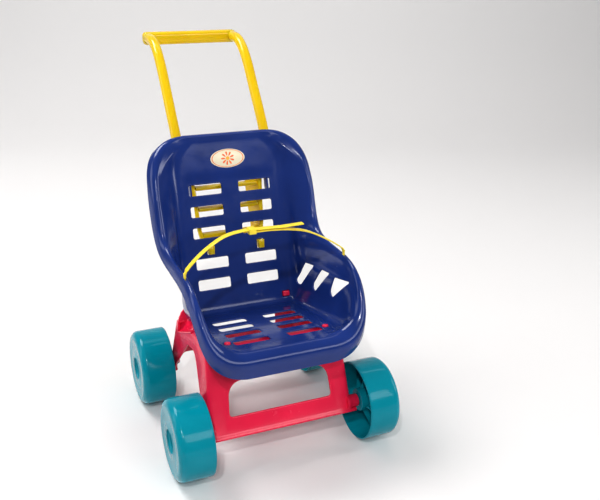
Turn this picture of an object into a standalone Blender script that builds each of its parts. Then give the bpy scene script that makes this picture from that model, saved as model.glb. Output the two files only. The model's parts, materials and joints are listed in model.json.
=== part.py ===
"""Doll stroller: a moulded bucket seat on an A-shaped base, with a push handle,
a lap belt and four free-running wheels.

Lengths are millimetres, turned into metres where a mesh is made. +Z is up, the
stroller faces -Y, and X = 0 is its plane of symmetry. Shapes are drawn with
Y = 0 midway between the axles; the rig empty then centres the whole object.
"""
import math

import bmesh
import bpy
from mathutils import Matrix, Vector

MM = 0.001

# Wheels and axles
WHEEL_RADIUS = 57.5
WHEEL_SIDES = 32
WHEEL_OUTER_X = 162.4
WHEEL_INNER_X = 113.2
WHEEL_SHELL = 2.6
WHEEL_SHOULDER = 10.0
WHEELBASE = 203.6
AXLE_Z = WHEEL_RADIUS * math.cos(math.pi / WHEEL_SIDES)
RECESS_RADIUS = 13.5
RECESS_FLOOR_X = 138.0
HUB_INNER_X = 119.5
HUB_RADIUS = 16.5
HUB_BORE = 5.05
PIN_RADIUS = 5.0
PIN_HEAD_RADIUS = 10.0
PIN_HEAD_LENGTH = 4.5

# Seat floor: reclined back, sloping pan
BACK_SLOPE = 0.286
BACK_REF = (75.2, 185.3)
PAN_SLOPE = 0.198
PAN_REF = (10.0, 160.5)
SEAT_WALL = 2.6
TOUCH_GAP = 0.3
FLOOR_COLUMNS = (-1.0, -0.86, -0.45, 0.0, 0.45, 0.86, 1.0)
BEND_X = 4.0
BEND_SHARE = 0.14
CALF_SHARE = 0.62

# Slots
SLOT_INNER_X = 13.5
SLOT_OUTER_X = 64.5
BACK_SLOT_Z = (330.8, 299.7, 268.7, 223.1, 192.3)
BACK_SLOT_HEIGHT = 16.5
PAN_SLOT_Y = (10.0, -20.0, -51.0, -86.0)
PAN_SLOT_LENGTH = 19.5
SIDE_SLOT_NEAR_X = 84.0
SIDE_SLOT_FAR_X = 122.0
SLOT_DEPTH = 8.0
TAB_SLACK = 0.6
TAB_X = 40.0
TAB_Z = 243.0
TAB_WIDTH = 10.0
TAB_HEIGHT = 13.0

# Base
BASE_BOTTOM_Z = 46.5
BASE_BOTTOM_X = 108.5
BASE_TOP_X = 101.0
BASE_WALL = 3.0
BASE_CORNER = 5.0
PANEL_SLOPE = 0.341
PANEL_REF = (78.6, 142.6)
TOP_WINDOW_X = 80.0
TOP_WINDOW_Y = 54.0
REAR_NOTCH = ((-92.0, 30.0), (92.0, 30.0), (92.0, 64.0), (84.0, 72.0), (-84.0, 72.0), (-92.0, 64.0))
SIDE_ARCH = ((-64.0, 40.0), (-56.0, 66.0), (-27.0, 138.0), (-21.0, 141.0),
             (12.0, 135.5), (18.0, 131.0), (78.0, 66.0), (86.0, 40.0))
WAIST_SHARE = 0.72
SEAT_REST_GAP = 0.7
FRONT_WINDOW = (102.0, ((75.0, 21.0, 24.0), (-75.0, 21.0, 24.0), (-78.5, -31.0, 8.0), (78.5, -31.0, 8.0)))
REAR_WINDOW = (112.0, ((62.0, 16.0, 9.0), (-62.0, 16.0, 9.0), (-68.0, -15.0, 7.0), (68.0, -15.0, 7.0)))
BOSS_RADIUS = 9.5
BOSS_START_X = 92.0
BOSS_END_X = 118.8
BORE_RADIUS = 5.05
BORE_START_X = 95.0
PEG_RADIUS = 4.5
PEG_HOLE_X = 11.5
PEG_HOLE_Y = 12.5
PEG_X = 72.5
PEG_HOLE_CENTRE = 71.5
PEG_Y = -82.0
REAR_TAB_X = 74.0
REAR_TAB_Z = 162.0
REAR_TAB_WIDTH = 11.0
REAR_TAB_HEIGHT = 8.0
REAR_POST = ((22.0, -20.0), (18.5, -5.5), (17.0, -1.2), (14.5, -0.6), (10.0, -5.0), (10.0, 6.0),
             (6.0, 9.0), (-6.0, 9.0), (-10.0, 6.0), (-10.0, -26.0), (10.0, -26.0), (10.0, -20.0))

# Handle
BAR_X = 70.0
BAR_WIDTH = 14.5
BAR_DEPTH = 15.5
GRIP_SIZE = 20.0
LEG_STANDOFF = 15.0
HANDLE_LEGS = ((236.0, 41.5, 6.5, 22.0, -0.22), (262.0, 47.0, 6.5, 32.0, -0.26),
               (300.0, 48.0, 6.5, 38.0, -0.28), (340.0, 50.5, 7.0, 42.0, -0.28),
               (362.0, 57.0, 10.0, 34.0, -0.14))
HANDLE_BENDS = ((68.0, 148.0, 381.0), (70.0, 161.5, 405.0), (70.0, 209.0, 465.0), (70.0, 234.5, 496.0),
                (70.0, 258.0, 516.5), (70.0, 283.0, 527.0), (70.0, 314.0, 528.0))
HANDLE_RIBS = ((327.0, 5.0, 12.0, 49.0), (296.0, 5.0, 12.0, 47.5), (255.0, 11.0, 12.0, 45.0))
CROSSBAR_Y = 318.5
CROSSBAR_Z = 527.0

# Belt
BELT_Y = -41.5
BELT_WIDTH = 9.0
BELT_THICK = 1.8
ANCHOR_X = 117.0
ANCHOR_Z = 256.5
ANCHOR_SLOT_X = 5.6
ANCHOR_SLOT_Y = 19.0
BALL_RADIUS = 3.6
NECK = 3.6
NECK_FOOT = 4.5
NECK_TOP = 14.0
RIBBON_CORNERS = ((0.707, 0.707), (-0.707, 0.707), (-0.707, -0.707), (0.707, -0.707))
TONGUE_ROUTE = ((-114.5, 276.0), (-107.5, 284.0), (-96.5, 294.5), (-80.0, 307.0), (-60.0, 317.5),
                (-36.0, 321.8), (-10.0, 321.8), (20.0, 320.8), (52.0, 321.5))
BUCKLE_ROUTE = ((114.5, 275.5), (107.0, 281.5), (95.0, 289.5), (78.0, 299.5), (56.0, 310.0),
                (30.0, 315.8), (4.0, 318.3), (-24.0, 318.6))
BUCKLE_LOW_X = -28.0
BUCKLE_HIGH_X = -18.0
BUCKLE_Z = 320.4
BUCKLE_RIM = 2.4
BUCKLE_HEIGHT = 8.0

# Label
LABEL_Z = 373.0
LABEL_WIDTH = 54.0
LABEL_HEIGHT = 28.0
LABEL_FILM = 0.6

FRONT_END = -WHEELBASE / 2 - AXLE_Z
REAR_END = CROSSBAR_Y + GRIP_SIZE / 2
RIG_SHIFT = -(FRONT_END + REAR_END) / 2

BLUE = (0.022, 0.032, 0.19)
PINK = (0.72, 0.03, 0.09)
YELLOW = (0.80, 0.58, 0.01)
PALE_YELLOW = (0.88, 0.70, 0.06)
TEAL = (0.0, 0.28, 0.34)
CREAM = (0.85, 0.80, 0.66)


def clear_scene():
    for old in list(bpy.data.objects):
        bpy.data.objects.remove(old, do_unlink=True)


def plastic(name, colour, roughness):
    finish = bpy.data.materials.new(name)
    finish.use_nodes = True
    shader = finish.node_tree.nodes["Principled BSDF"]
    shader.inputs["Base Color"].default_value = (*colour, 1.0)
    shader.inputs["Roughness"].default_value = roughness
    shader.inputs["Metallic"].default_value = 0.0
    finish.diffuse_color = (*colour, 1.0)
    return finish


def back_y(z):
    """Y of the backrest's front face at height z."""
    return BACK_REF[0] + BACK_SLOPE * (z - BACK_REF[1])


def pan_z(y):
    """Height of the seat pan's upper face at y."""
    return PAN_REF[1] + PAN_SLOPE * (PAN_REF[0] - y)


def panel_y(z):
    """Distance of the base's front or rear panel from the middle at height z."""
    return PANEL_REF[0] + PANEL_SLOPE * (PANEL_REF[1] - z)


def side_x(z):
    """Half-width of the base at height z."""
    top_z = PANEL_REF[1] + 20.0
    share = (z - BASE_BOTTOM_Z) / (top_z - BASE_BOTTOM_Z)
    return BASE_BOTTOM_X + (BASE_TOP_X - BASE_BOTTOM_X) * share


def add_object(name, mesh, finish, rig, origin=(0.0, 0.0, 0.0)):
    """Link a mesh given in millimetres about the origin point, as a child of the rig."""
    mesh.transform(Matrix.Scale(MM, 4))
    item = bpy.data.objects.new(name, mesh)
    bpy.context.scene.collection.objects.link(item)
    item.parent = rig
    item.location = Vector(origin) * MM
    if finish:
        mesh.materials.append(finish)
    return item


def mesh_from(name, verts, faces, facing=None):
    """Mesh with outward faces; facing is a direction that an open sheet's faces take."""
    mesh = bpy.data.meshes.new(name)
    mesh.from_pydata([tuple(v) for v in verts], [], faces)
    shell = bmesh.new()
    shell.from_mesh(mesh)
    bmesh.ops.recalc_face_normals(shell, faces=shell.faces)
    if facing:
        total = sum((face.normal * face.calc_area() for face in shell.faces), Vector())
        if total.dot(Vector(facing)) < 0:
            bmesh.ops.reverse_faces(shell, faces=shell.faces)
    shell.to_mesh(mesh)
    shell.free()
    return mesh


def shade_round(item, angle=35.0):
    item.data.shade_smooth()
    item.data.set_sharp_from_angle(angle=math.radians(angle))


def as_tool(item):
    item.display_type = "WIRE"
    item.hide_render = True
    return item


def boolean(target, tool, operation="DIFFERENCE", overlapping=False):
    """Cut or join a tool object; overlapping says that the tool's own solids meet."""
    change = target.modifiers.new(operation.title() + "_" + tool.name, "BOOLEAN")
    change.operation = operation
    change.solver = "EXACT"
    change.use_self = overlapping
    change.object = as_tool(tool)


def rounded_rect(half_w, half_h, radius, steps):
    """Corner points of a rounded rectangle, counter-clockwise."""
    points = []
    for turn, (sx, sy) in enumerate(((1, 1), (-1, 1), (-1, -1), (1, -1))):
        for step in range(steps + 1):
            angle = math.radians(90 * turn) + math.radians(90) * step / steps
            points.append((sx * (half_w - radius) + radius * math.cos(angle),
                           sy * (half_h - radius) + radius * math.sin(angle)))
    return points


def circle(radius, steps):
    """Corner points of a round outline, counter-clockwise."""
    return [(radius * math.cos(2 * math.pi * i / steps), radius * math.sin(2 * math.pi * i / steps))
            for i in range(steps)]


def loft(rings, closed_ends=True):
    """Vertices and faces of a tube through rings of equal point counts."""
    count = len(rings[0])
    verts = [point for ring in rings for point in ring]
    faces = []
    for row in range(len(rings) - 1):
        for i in range(count):
            j = (i + 1) % count
            a = row * count
            faces.append((a + i, a + j, a + count + j, a + count + i))
    if closed_ends:
        faces.append(tuple(reversed(range(count))))
        faces.append(tuple(range(len(verts) - count, len(verts))))
    return verts, faces


def merge_parts(name, parts):
    """One mesh holding several separate closed solids."""
    verts = []
    faces = []
    for part_verts, part_faces in parts:
        start = len(verts)
        verts += part_verts
        faces += [tuple(i + start for i in face) for face in part_faces]
    return mesh_from(name, verts, faces)


def prism(outline, place, low, high):
    """Solid between two copies of an outline; place maps (u, v, w) to x, y, z."""
    rings = [[place(u, v, w) for u, v in outline] for w in (low, high)]
    return loft(rings)


def mirrored(parts):
    """The same solids and their mirror images in X = 0."""
    copies = []
    for verts, faces in parts:
        copies.append(([(-x, y, z) for x, y, z in verts], [tuple(reversed(f)) for f in faces]))
    return parts + copies


def turned(profile, sides, flip):
    """Closed solid of revolution about X; profile is a loop of (x, radius) points."""
    rings = []
    for x, radius in profile:
        ring = []
        for i in range(sides):
            angle = 2 * math.pi * (i + 0.5) / sides
            ring.append((flip * x, radius * math.sin(angle), radius * math.cos(angle)))
        rings.append(ring)
    verts, faces = loft(rings + rings[:1], closed_ends=False)
    total = len(verts) - sides
    return verts[:total], [tuple(i % total for i in face) for face in faces]


# ---------------------------------------------------------------- seat shell

def seat_rows():
    """Floor stations from the top of the back to the front lip.

    Each row is (y, z, half width) of the floor, then the rim's crest, outer
    shoulder and free edge beside it, each as (x, y, z).
    """
    def back(z, half):
        return (back_y(z), z, half)

    def pan(y, half):
        return (y, pan_z(y), half)

    return [
        (back(399.0, 52.0), (84, 136, 407), (90, 144, 408), (95, 147, 399)),
        (back(388.0, 71.0), (106, 123, 393), (113, 128, 394), (117, 134, 388)),
        (back(366.0, 78.0), (116, 103, 369), (123, 108, 368), (126, 119, 367)),
        (back(332.0, 79.0), (119, 84, 334), (126, 88, 333), (129, 104, 332)),
        (back(296.0, 80.0), (119, 72, 303), (126, 77, 300), (129, 91, 295)),
        (back(262.0, 81.0), (117, 59, 280), (125, 64, 275), (128, 72, 265)),
        (back(225.0, 83.0), (114, 40, 271), (122, 43, 268), (126, 46, 255)),
        (back(186.0, 85.0), (113, 20, 268), (121, 21, 266), (125, 21, 253)),
        (back(166.0, 86.0), (113, 8, 268), (121, 9, 266), (125, 9, 253)),
        ((64.8, 149.6, 86.5), (113, -2, 268), (121, -2, 266), (125, -2, 253)),
        (pan(49.0, 87.0), (113, -12, 268), (121, -12, 266), (125, -12, 253)),
        (pan(26.0, 88.0), (113, -26, 268), (121, -26, 266), (125, -26, 253)),
        (pan(-8.0, 89.0), (113, -45, 268.5), (121, -46, 266), (125, -45, 252)),
        (pan(-44.0, 90.0), (113, -68, 266), (121, -71, 263), (125, -68, 248)),
        (pan(-76.0, 89.0), (113, -92, 254), (121, -98, 248), (124, -91, 232)),
        (pan(-98.0, 86.0), (111, -110, 231), (118, -120, 222), (121, -110, 206)),
        (pan(-110.0, 79.0), (104, -122, 207), (110, -135, 196), (113, -125, 176)),
        (pan(-116.0, 62.0), (84, -128, 190), (89, -145, 180), (90, -136, 157)),
    ]


def seat_top_rim(x):
    """Crest, shoulder and edge above the top of the back."""
    return (x * 1.35, 137, 409), (x * 1.4, 147, 410), (x * 1.42, 150, 401)


def seat_front_rim(x):
    """Crest, shoulder and edge in front of the pan."""
    return (x * 1.12, -128, 187.5), (x * 1.15, -146, 179), (x * 1.15, -138, 153)


def seat_cage():
    """Control mesh of the seat's upper face: floor grid plus rim bands."""
    rows = seat_rows()
    columns = len(FLOOR_COLUMNS)
    verts = []
    for (y, z, half), *_ in rows:
        verts += [(share * half, y, z) for share in FLOOR_COLUMNS]
    faces = []
    for r in range(len(rows) - 1):
        for c in range(columns - 1):
            a = r * columns + c
            faces.append((a, a + 1, a + columns + 1, a + columns))

    last = len(rows) - 1
    loop = []
    for c in range(1, columns - 1):
        x = FLOOR_COLUMNS[c] * rows[0][0][2]
        loop.append((c, seat_top_rim(x)))
    loop += [(r * columns + columns - 1, rows[r][1:]) for r in range(last + 1)]
    for c in range(columns - 2, 0, -1):
        x = FLOOR_COLUMNS[c] * rows[last][0][2]
        loop.append((last * columns + c, seat_front_rim(x)))
    for r in range(last, -1, -1):
        left = [(-x, y, z) for x, y, z in rows[r][1:]]
        loop.append((r * columns, left))

    bands = []
    for base_index, (crest, shoulder, edge) in loop:
        base = Vector(verts[base_index])
        crest = Vector(crest)
        rise = crest - base
        heel = base + rise * BEND_SHARE + Vector((math.copysign(BEND_X, base.x), 0, 0)) * wall_lean(base)
        calf = base.lerp(crest, CALF_SHARE)
        bands.append([heel, calf, crest, Vector(shoulder), Vector(edge)])
    ring_start = len(verts)
    for band in bands:
        verts += [tuple(point) for point in band]
    depth = 5
    count = len(loop)
    for i in range(count):
        j = (i + 1) % count
        a = ring_start + i * depth
        b = ring_start + j * depth
        faces.append((loop[i][0], loop[j][0], b, a))
        for k in range(depth - 1):
            faces.append((a + k, b + k, b + k + 1, a + k + 1))
    return verts, faces


def wall_lean(base):
    """1 beside the floor's long sides, 0 across its two ends."""
    return 1.0 if abs(base.x) > 70.0 else 0.0


def slot_tools():
    """Solids that cut the slots in the back and the pan, and the four peg holes."""
    middle_x = (SLOT_INNER_X + SLOT_OUTER_X) / 2
    half_x = (SLOT_OUTER_X - SLOT_INNER_X) / 2
    parts = []
    back_axis = Vector((0, 1, -BACK_SLOPE)).normalized()
    back_up = Vector((0, BACK_SLOPE, 1)).normalized()
    pan_axis = Vector((0, PAN_SLOPE, 1)).normalized()
    pan_up = Vector((0, 1, -PAN_SLOPE)).normalized()

    def cut(outline, centre, up, axis):
        def place(u, v, w):
            return tuple(centre + Vector((u, 0, 0)) + up * v + axis * w)
        parts.append(prism(outline, place, -SLOT_DEPTH, SLOT_DEPTH))

    slot = rounded_rect(half_x, BACK_SLOT_HEIGHT / 2, 3.0, 2)
    for z in BACK_SLOT_Z:
        cut(slot, Vector((middle_x, back_y(z), z)), back_up, back_axis)
    pan_slot = rounded_rect(half_x, PAN_SLOT_LENGTH / 2, 5.0, 2)
    for y in PAN_SLOT_Y:
        cut(pan_slot, Vector((middle_x, y, pan_z(y))), pan_up, pan_axis)
    tab = rounded_rect(TAB_WIDTH / 2 + TAB_SLACK, TAB_HEIGHT / 2 + TAB_SLACK, 1.5, 1)
    cut(tab, Vector((TAB_X, back_y(TAB_Z), TAB_Z)), back_up, back_axis)
    peg_hole = rounded_rect(PEG_HOLE_X / 2, PEG_HOLE_Y / 2, 4.0, 2)
    cut(peg_hole, Vector((PEG_HOLE_CENTRE, PEG_Y, pan_z(PEG_Y))), pan_up, pan_axis)
    tab = rounded_rect(REAR_TAB_WIDTH / 2 + TAB_SLACK, REAR_TAB_HEIGHT / 2 + TAB_SLACK, 1.0, 1)
    cut(tab, Vector((REAR_TAB_X, back_y(REAR_TAB_Z), REAR_TAB_Z)), back_up, back_axis)
    return parts


def side_slot_outlines():
    """Leaning slots in the arms: (top rear, top front, middle of the round foot, its radius) in (y, z)."""
    return [
        ((51.0, 218.5), (29.0, 221.5), (60.5, 184.0), 6.0),
        ((6.0, 224.5), (-21.0, 229.0), (13.5, 194.5), 7.0),
        ((-37.0, 230.0), (-79.0, 239.0), (-42.5, 210.0), 8.0),
    ]


def side_slot_tools():
    parts = []
    for rear, front, foot, radius in side_slot_outlines():
        outline = [rear, front]
        outline += [(foot[0] + u, foot[1] + v) for u, v in circle(radius, 10)]

        def place(u, v, w):
            return (w, u, v)
        parts.append(prism(hull_order(outline), place, SIDE_SLOT_NEAR_X, SIDE_SLOT_FAR_X))
    return parts


def hull_order(points):
    """The convex outline of a few points, counter-clockwise."""
    points = sorted(points)
    chain = []
    for sweep in (points, points[::-1]):
        part = []
        for p in sweep:
            while len(part) > 1:
                (ax, ay), (bx, by) = part[-2], part[-1]
                if (bx - ax) * (p[1] - ay) - (by - ay) * (p[0] - ax) > 0:
                    break
                part.pop()
            part.append(p)
        chain += part[:-1]
    return chain


def anchor_slot_tools():
    """Slots in the crests of the arms that the belt's ball ends snap into."""
    outline = rounded_rect(ANCHOR_SLOT_X / 2, ANCHOR_SLOT_Y / 2, 2.0, 1)

    def place(u, v, w):
        return (ANCHOR_X + u, BELT_Y + v, w)
    return [prism(outline, place, ANCHOR_Z - 2.0, ANCHOR_Z + 20.0)]


def build_seat(rig, finish):
    verts, faces = seat_cage()
    mesh = mesh_from("seat_shell", verts, faces, facing=(0, -1, 1))
    seat = add_object("seat_shell", mesh, finish, rig)
    smooth = seat.modifiers.new("Smooth", "SUBSURF")
    smooth.levels = 1
    smooth.render_levels = 1
    wall = seat.modifiers.new("Wall", "SOLIDIFY")
    wall.thickness = SEAT_WALL * MM
    wall.offset = -1.0
    wall.use_even_offset = True
    cuts = mirrored(slot_tools() + side_slot_tools() + anchor_slot_tools())
    tool = add_object("seat_cuts", merge_parts("seat_cuts", cuts), None, rig)
    boolean(seat, tool)
    shade_round(seat)
    return seat


# ---------------------------------------------------------------- base

def base_outline(z):
    """Plan outline of the base's outer face at height z, with cut corners."""
    half_x = side_x(z)
    half_y = panel_y(z)
    corner = BASE_CORNER
    return [
        (half_x, -half_y + corner, z), (half_x, half_y - corner, z),
        (half_x - corner, half_y, z), (-half_x + corner, half_y, z),
        (-half_x, half_y - corner, z), (-half_x, -half_y + corner, z),
        (-half_x + corner, -half_y, z), (half_x - corner, -half_y, z),
    ]


def base_top_z(y):
    """Height of the base's sloping top, close under the seat pan."""
    return pan_z(y) - SEAT_WALL - SEAT_REST_GAP


def wall_point(point, share):
    """A bottom outline point carried up the leaning wall towards the sloping top."""
    x0, y0, _ = point
    top = base_top_z(y0)
    for _ in range(6):
        top = base_top_z(y0 * panel_y(top) / panel_y(BASE_BOTTOM_Z))
    z = BASE_BOTTOM_Z + (top - BASE_BOTTOM_Z) * share
    return (x0 * side_x(z) / BASE_BOTTOM_X, y0 * panel_y(z) / panel_y(BASE_BOTTOM_Z), z)


def base_shell():
    """Outer face of the base, open below: foot, waist and crown outlines and a lid."""
    foot = base_outline(BASE_BOTTOM_Z)
    waist = [wall_point(point, WAIST_SHARE) for point in foot]
    crown = [wall_point(point, 1.0) for point in foot]
    verts, faces = loft([foot, waist, crown], closed_ends=False)
    faces.append(tuple(range(len(verts) - len(crown), len(verts))))
    return verts, faces


def panel_opening(sign, window):
    """Cutter for the rounded window in the front (-1) or rear (+1) panel."""
    middle_z, corners = window
    slope = Vector((0, -sign * PANEL_SLOPE, 1)).normalized()
    axis = Vector((0, sign, PANEL_SLOPE)).normalized()
    centre = Vector((0, sign * panel_y(middle_z), middle_z))
    outline = []
    for turn, (x, v, reach) in enumerate(corners):
        corner = Vector((x, v))
        ends = []
        for other in (corners[turn - 1], corners[(turn + 1) % len(corners)]):
            ends.append(corner + (Vector(other[:2]) - corner).normalized() * reach)
        for step in range(5):
            share = step / 4
            outline.append(ends[0].lerp(corner, share).lerp(corner.lerp(ends[1], share), share))

    def place(u, v, w):
        return tuple(centre + Vector((u, 0, 0)) + slope * v + axis * w)
    return prism(outline, place, -14, 14)


def top_opening():
    """Cutter for the open middle of the base's top."""
    def place(u, v, w):
        return (u, v, w)
    return prism(rounded_rect(TOP_WINDOW_X, TOP_WINDOW_Y, 12.0, 2), place, 130.0, 200.0)


def rear_notch():
    """Cutter that raises the rear panel's lower edge between the legs."""
    def place(u, v, w):
        return (u, w, v)
    return prism(REAR_NOTCH, place, 70.0, 130.0)


def arch_cutter():
    """Opening under the sides: an inverted V with a short flat top."""
    def place(u, v, w):
        return (w, u, v)
    return prism(SIDE_ARCH, place, -BASE_BOTTOM_X - 15.0, BASE_BOTTOM_X + 15.0)


def build_base(rig, finish):
    verts, faces = base_shell()
    mesh = mesh_from("base_frame", verts, faces, facing=(0, 0, 1))
    base = add_object("base_frame", mesh, finish, rig)
    wall = base.modifiers.new("Wall", "SOLIDIFY")
    wall.thickness = BASE_WALL * MM
    wall.offset = -1.0
    wall.use_even_offset = True
    parts = [panel_opening(-1, FRONT_WINDOW), panel_opening(1, REAR_WINDOW), arch_cutter(), top_opening(),
             rear_notch()]
    for number, part in enumerate(parts):
        tool = add_object("base_cut_%d" % number, mesh_from("cut", *part), None, rig)
        boolean(base, tool)
    bosses = []
    bores = []
    for side in (-1, 1):
        for end in (-1, 1):
            y = end * WHEELBASE / 2
            bosses.append(turned_rod(BOSS_START_X, BOSS_END_X, BOSS_RADIUS, 16, side, y, AXLE_Z))
            bores.append(turned_rod(BORE_START_X, BOSS_END_X + 5.0, BORE_RADIUS, 16, side, y, AXLE_Z))
    tool = add_object("base_bosses", merge_parts("bosses", bosses), None, rig)
    boolean(base, tool, "UNION")
    tool = add_object("base_bores", merge_parts("bores", bores), None, rig)
    boolean(base, tool)
    tool = add_object("base_pegs", merge_parts("pegs", peg_parts()), None, rig)
    boolean(base, tool, "UNION", overlapping=True)
    shade_round(base)
    return base


def peg_parts():
    """Front pegs on lugs under the pan, and rear posts with an ear and a tab behind the back."""
    pan_axis = Vector((0, PAN_SLOPE, 1)).normalized()
    along = Vector((0, 1, -PAN_SLOPE)).normalized()
    back_axis = Vector((0, 1, -BACK_SLOPE)).normalized()
    back_up = Vector((0, BACK_SLOPE, 1)).normalized()
    under = -SEAT_WALL - TOUCH_GAP
    peg_foot = Vector((PEG_X, PEG_Y, pan_z(PEG_Y)))
    tab_root = Vector((REAR_TAB_X, back_y(REAR_TAB_Z), REAR_TAB_Z))

    def on_pan(u, v, w):
        return tuple(peg_foot + Vector((u, 0, 0)) + along * v + pan_axis * w)

    def on_back(u, v, w):
        return tuple(tab_root + Vector((u, 0, 0)) + back_up * v + back_axis * w)

    behind = SEAT_WALL + TOUCH_GAP
    tab = rounded_rect(REAR_TAB_WIDTH / 2, REAR_TAB_HEIGHT / 2, 1.0, 1)
    lug = [(-8.0, -7.5), (8.0, -7.5), (8.0, 30.0), (-8.0, 30.0)]
    return mirrored([
        prism(circle(PEG_RADIUS, 12), on_pan, under - 2.5, 1.6),
        prism(lug, on_pan, under - 5.0, under - 1.0),
        prism(REAR_POST, on_back, behind + 0.3, behind + 5.0),
        prism(tab, on_back, -2.5, behind + 2.0),
    ])


def turned_rod(x0, x1, radius, sides, side, y, z):
    """Plain rod along X, centred at (y, z)."""
    rings = []
    for x in (x0, x1):
        rings.append([(side * x, y + radius * math.sin(2 * math.pi * i / sides),
                       z + radius * math.cos(2 * math.pi * i / sides)) for i in range(sides)])
    return loft(rings)


# ---------------------------------------------------------------- wheels

def wheel_profile():
    """Half section of a cup-shaped wheel: tread, face, recess and hub tube."""
    outer = WHEEL_OUTER_X
    shell = WHEEL_SHELL
    points = [(WHEEL_INNER_X, WHEEL_RADIUS)]
    for step in range(3):
        angle = math.radians(90 - 45 * step)
        points.append((outer - WHEEL_SHOULDER + WHEEL_SHOULDER * math.cos(angle),
                       WHEEL_RADIUS - WHEEL_SHOULDER + WHEEL_SHOULDER * math.sin(angle)))
    points += [
        (outer, RECESS_RADIUS + 1.5), (outer - 1.5, RECESS_RADIUS),
        (RECESS_FLOOR_X, RECESS_RADIUS), (RECESS_FLOOR_X, HUB_BORE),
        (HUB_INNER_X, HUB_BORE), (HUB_INNER_X, HUB_RADIUS),
        (outer - shell, HUB_RADIUS + 1.0),
    ]
    inner = WHEEL_SHOULDER - shell
    for step in range(2):
        angle = math.radians(90 * step)
        points.append((outer - WHEEL_SHOULDER + inner * math.cos(angle),
                       WHEEL_RADIUS - WHEEL_SHOULDER + inner * math.sin(angle)))
    points.append((WHEEL_INNER_X, WHEEL_RADIUS - shell))
    return points


def build_wheel(name, side, end, rig, finish):
    verts, faces = turned(wheel_profile(), WHEEL_SIDES, side)
    wheel = add_object(name, mesh_from(name, verts, faces), finish, rig,
                       (0.0, end * WHEELBASE / 2, AXLE_Z))
    shade_round(wheel)
    return wheel


def build_pin(name, side, end, rig, finish):
    """Axle pin: round head in the wheel's recess, shank into the base's boss."""
    head_x = RECESS_FLOOR_X + TOUCH_GAP
    head = [
        (head_x, PIN_HEAD_RADIUS), (head_x + PIN_HEAD_LENGTH - 1.5, PIN_HEAD_RADIUS),
        (head_x + PIN_HEAD_LENGTH, PIN_HEAD_RADIUS - 1.5),
    ]
    tip_x = BORE_START_X + 1.0
    shank = [(tip_x, PIN_RADIUS - 1.0), (tip_x + 1.5, PIN_RADIUS), (head_x, PIN_RADIUS)]
    rings = []
    for x, radius in shank + head:
        rings.append([(side * x, radius * math.sin(2 * math.pi * i / 16),
                       radius * math.cos(2 * math.pi * i / 16)) for i in range(16)])
    verts, faces = loft(rings)
    pin = add_object(name, mesh_from(name, verts, faces), finish, rig,
                     (0.0, end * WHEELBASE / 2, AXLE_Z))
    shade_round(pin)
    return pin


# ---------------------------------------------------------------- handle

def bar_section(centre, width, depth, tangent, twist=0.0):
    """Rounded section across a bar whose axis leans in the YZ plane."""
    across = Vector((math.cos(twist), -math.sin(twist), 0.0))
    through = tangent.cross(across).normalized()
    radius = min(width, depth) * 0.42
    return [tuple(centre + across * u + through * v)
            for u, v in rounded_rect(width / 2, depth / 2, radius, 3)]


def handle_side():
    """Right bar of the handle as one loft, from the hook up to the grip."""
    up_back = Vector((0, BACK_SLOPE, 1)).normalized()
    rings = []
    for z, x, width, depth, twist in HANDLE_LEGS:
        y = back_y(z) + LEG_STANDOFF + depth / 2
        rings.append(bar_section(Vector((x, y, z)), width, depth, up_back, twist))
    bends = [Vector(bend) for bend in HANDLE_BENDS]
    for i, bend in enumerate(bends):
        before = bends[i - 1] if i else bend - up_back * 22.0
        after = bends[i + 1] if i + 1 < len(bends) else bend + Vector((0, 1, 0))
        lean = (after - before).normalized()
        rings.append(bar_section(bend, BAR_WIDTH, BAR_DEPTH, Vector((0, lean.y, lean.z)).normalized()))
    return loft(rings)


def crossbar():
    """Grip bar with rounded ends, joining the two side bars."""
    rings = []
    outer = BAR_X + BAR_WIDTH / 2
    stations = ((-outer - 0.4, 0.35), (-outer + 1.2, 0.75), (-outer + 4.0, 1.0),
                (outer - 4.0, 1.0), (outer - 1.2, 0.75), (outer + 0.4, 0.35))
    for x, size in stations:
        outline = rounded_rect(GRIP_SIZE / 2 * size, GRIP_SIZE / 2 * size, 9.0 * size, 3)
        rings.append([(x, CROSSBAR_Y + u, CROSSBAR_Z + v) for u, v in outline])
    return loft(rings)


def cross_rib(z, height, depth, half_x):
    """Bridge between the handle's legs behind the back."""
    y0 = back_y(z) + LEG_STANDOFF + 2.0
    outline = [(y0, z - height / 2), (y0 + depth, z - height / 2),
               (y0 + depth, z + height / 2), (y0, z + height / 2)]

    def place(u, v, w):
        return (w, u, v)
    return prism(outline, place, -half_x, half_x)


def hook_tab():
    """Tab at the foot of a leg that hooks through the back."""
    back_axis = Vector((0, 1, -BACK_SLOPE)).normalized()
    back_up = Vector((0, BACK_SLOPE, 1)).normalized()
    centre = Vector((TAB_X, back_y(TAB_Z), TAB_Z))

    def place(u, v, w):
        return tuple(centre + Vector((u, 0, 0)) + back_up * v + back_axis * w)
    return prism(rounded_rect(TAB_WIDTH / 2, TAB_HEIGHT / 2, 1.5, 1), place, -5.0, LEG_STANDOFF + 10.0)


def build_handle(rig, finish):
    verts, faces = handle_side()
    handle = add_object("push_handle", mesh_from("push_handle", verts, faces), finish, rig)
    left = mirrored([(verts, faces)])[1:]
    pieces = [("handle_left", left), ("handle_grip", [crossbar()]),
              ("handle_tabs", mirrored([hook_tab()])),
              ("handle_ribs", [cross_rib(*rib) for rib in HANDLE_RIBS])]
    for name, parts in pieces:
        tool = add_object(name, merge_parts(name, parts), None, rig)
        boolean(handle, tool, "UNION")
    shade_round(handle)
    return handle


# ---------------------------------------------------------------- belt

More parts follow.
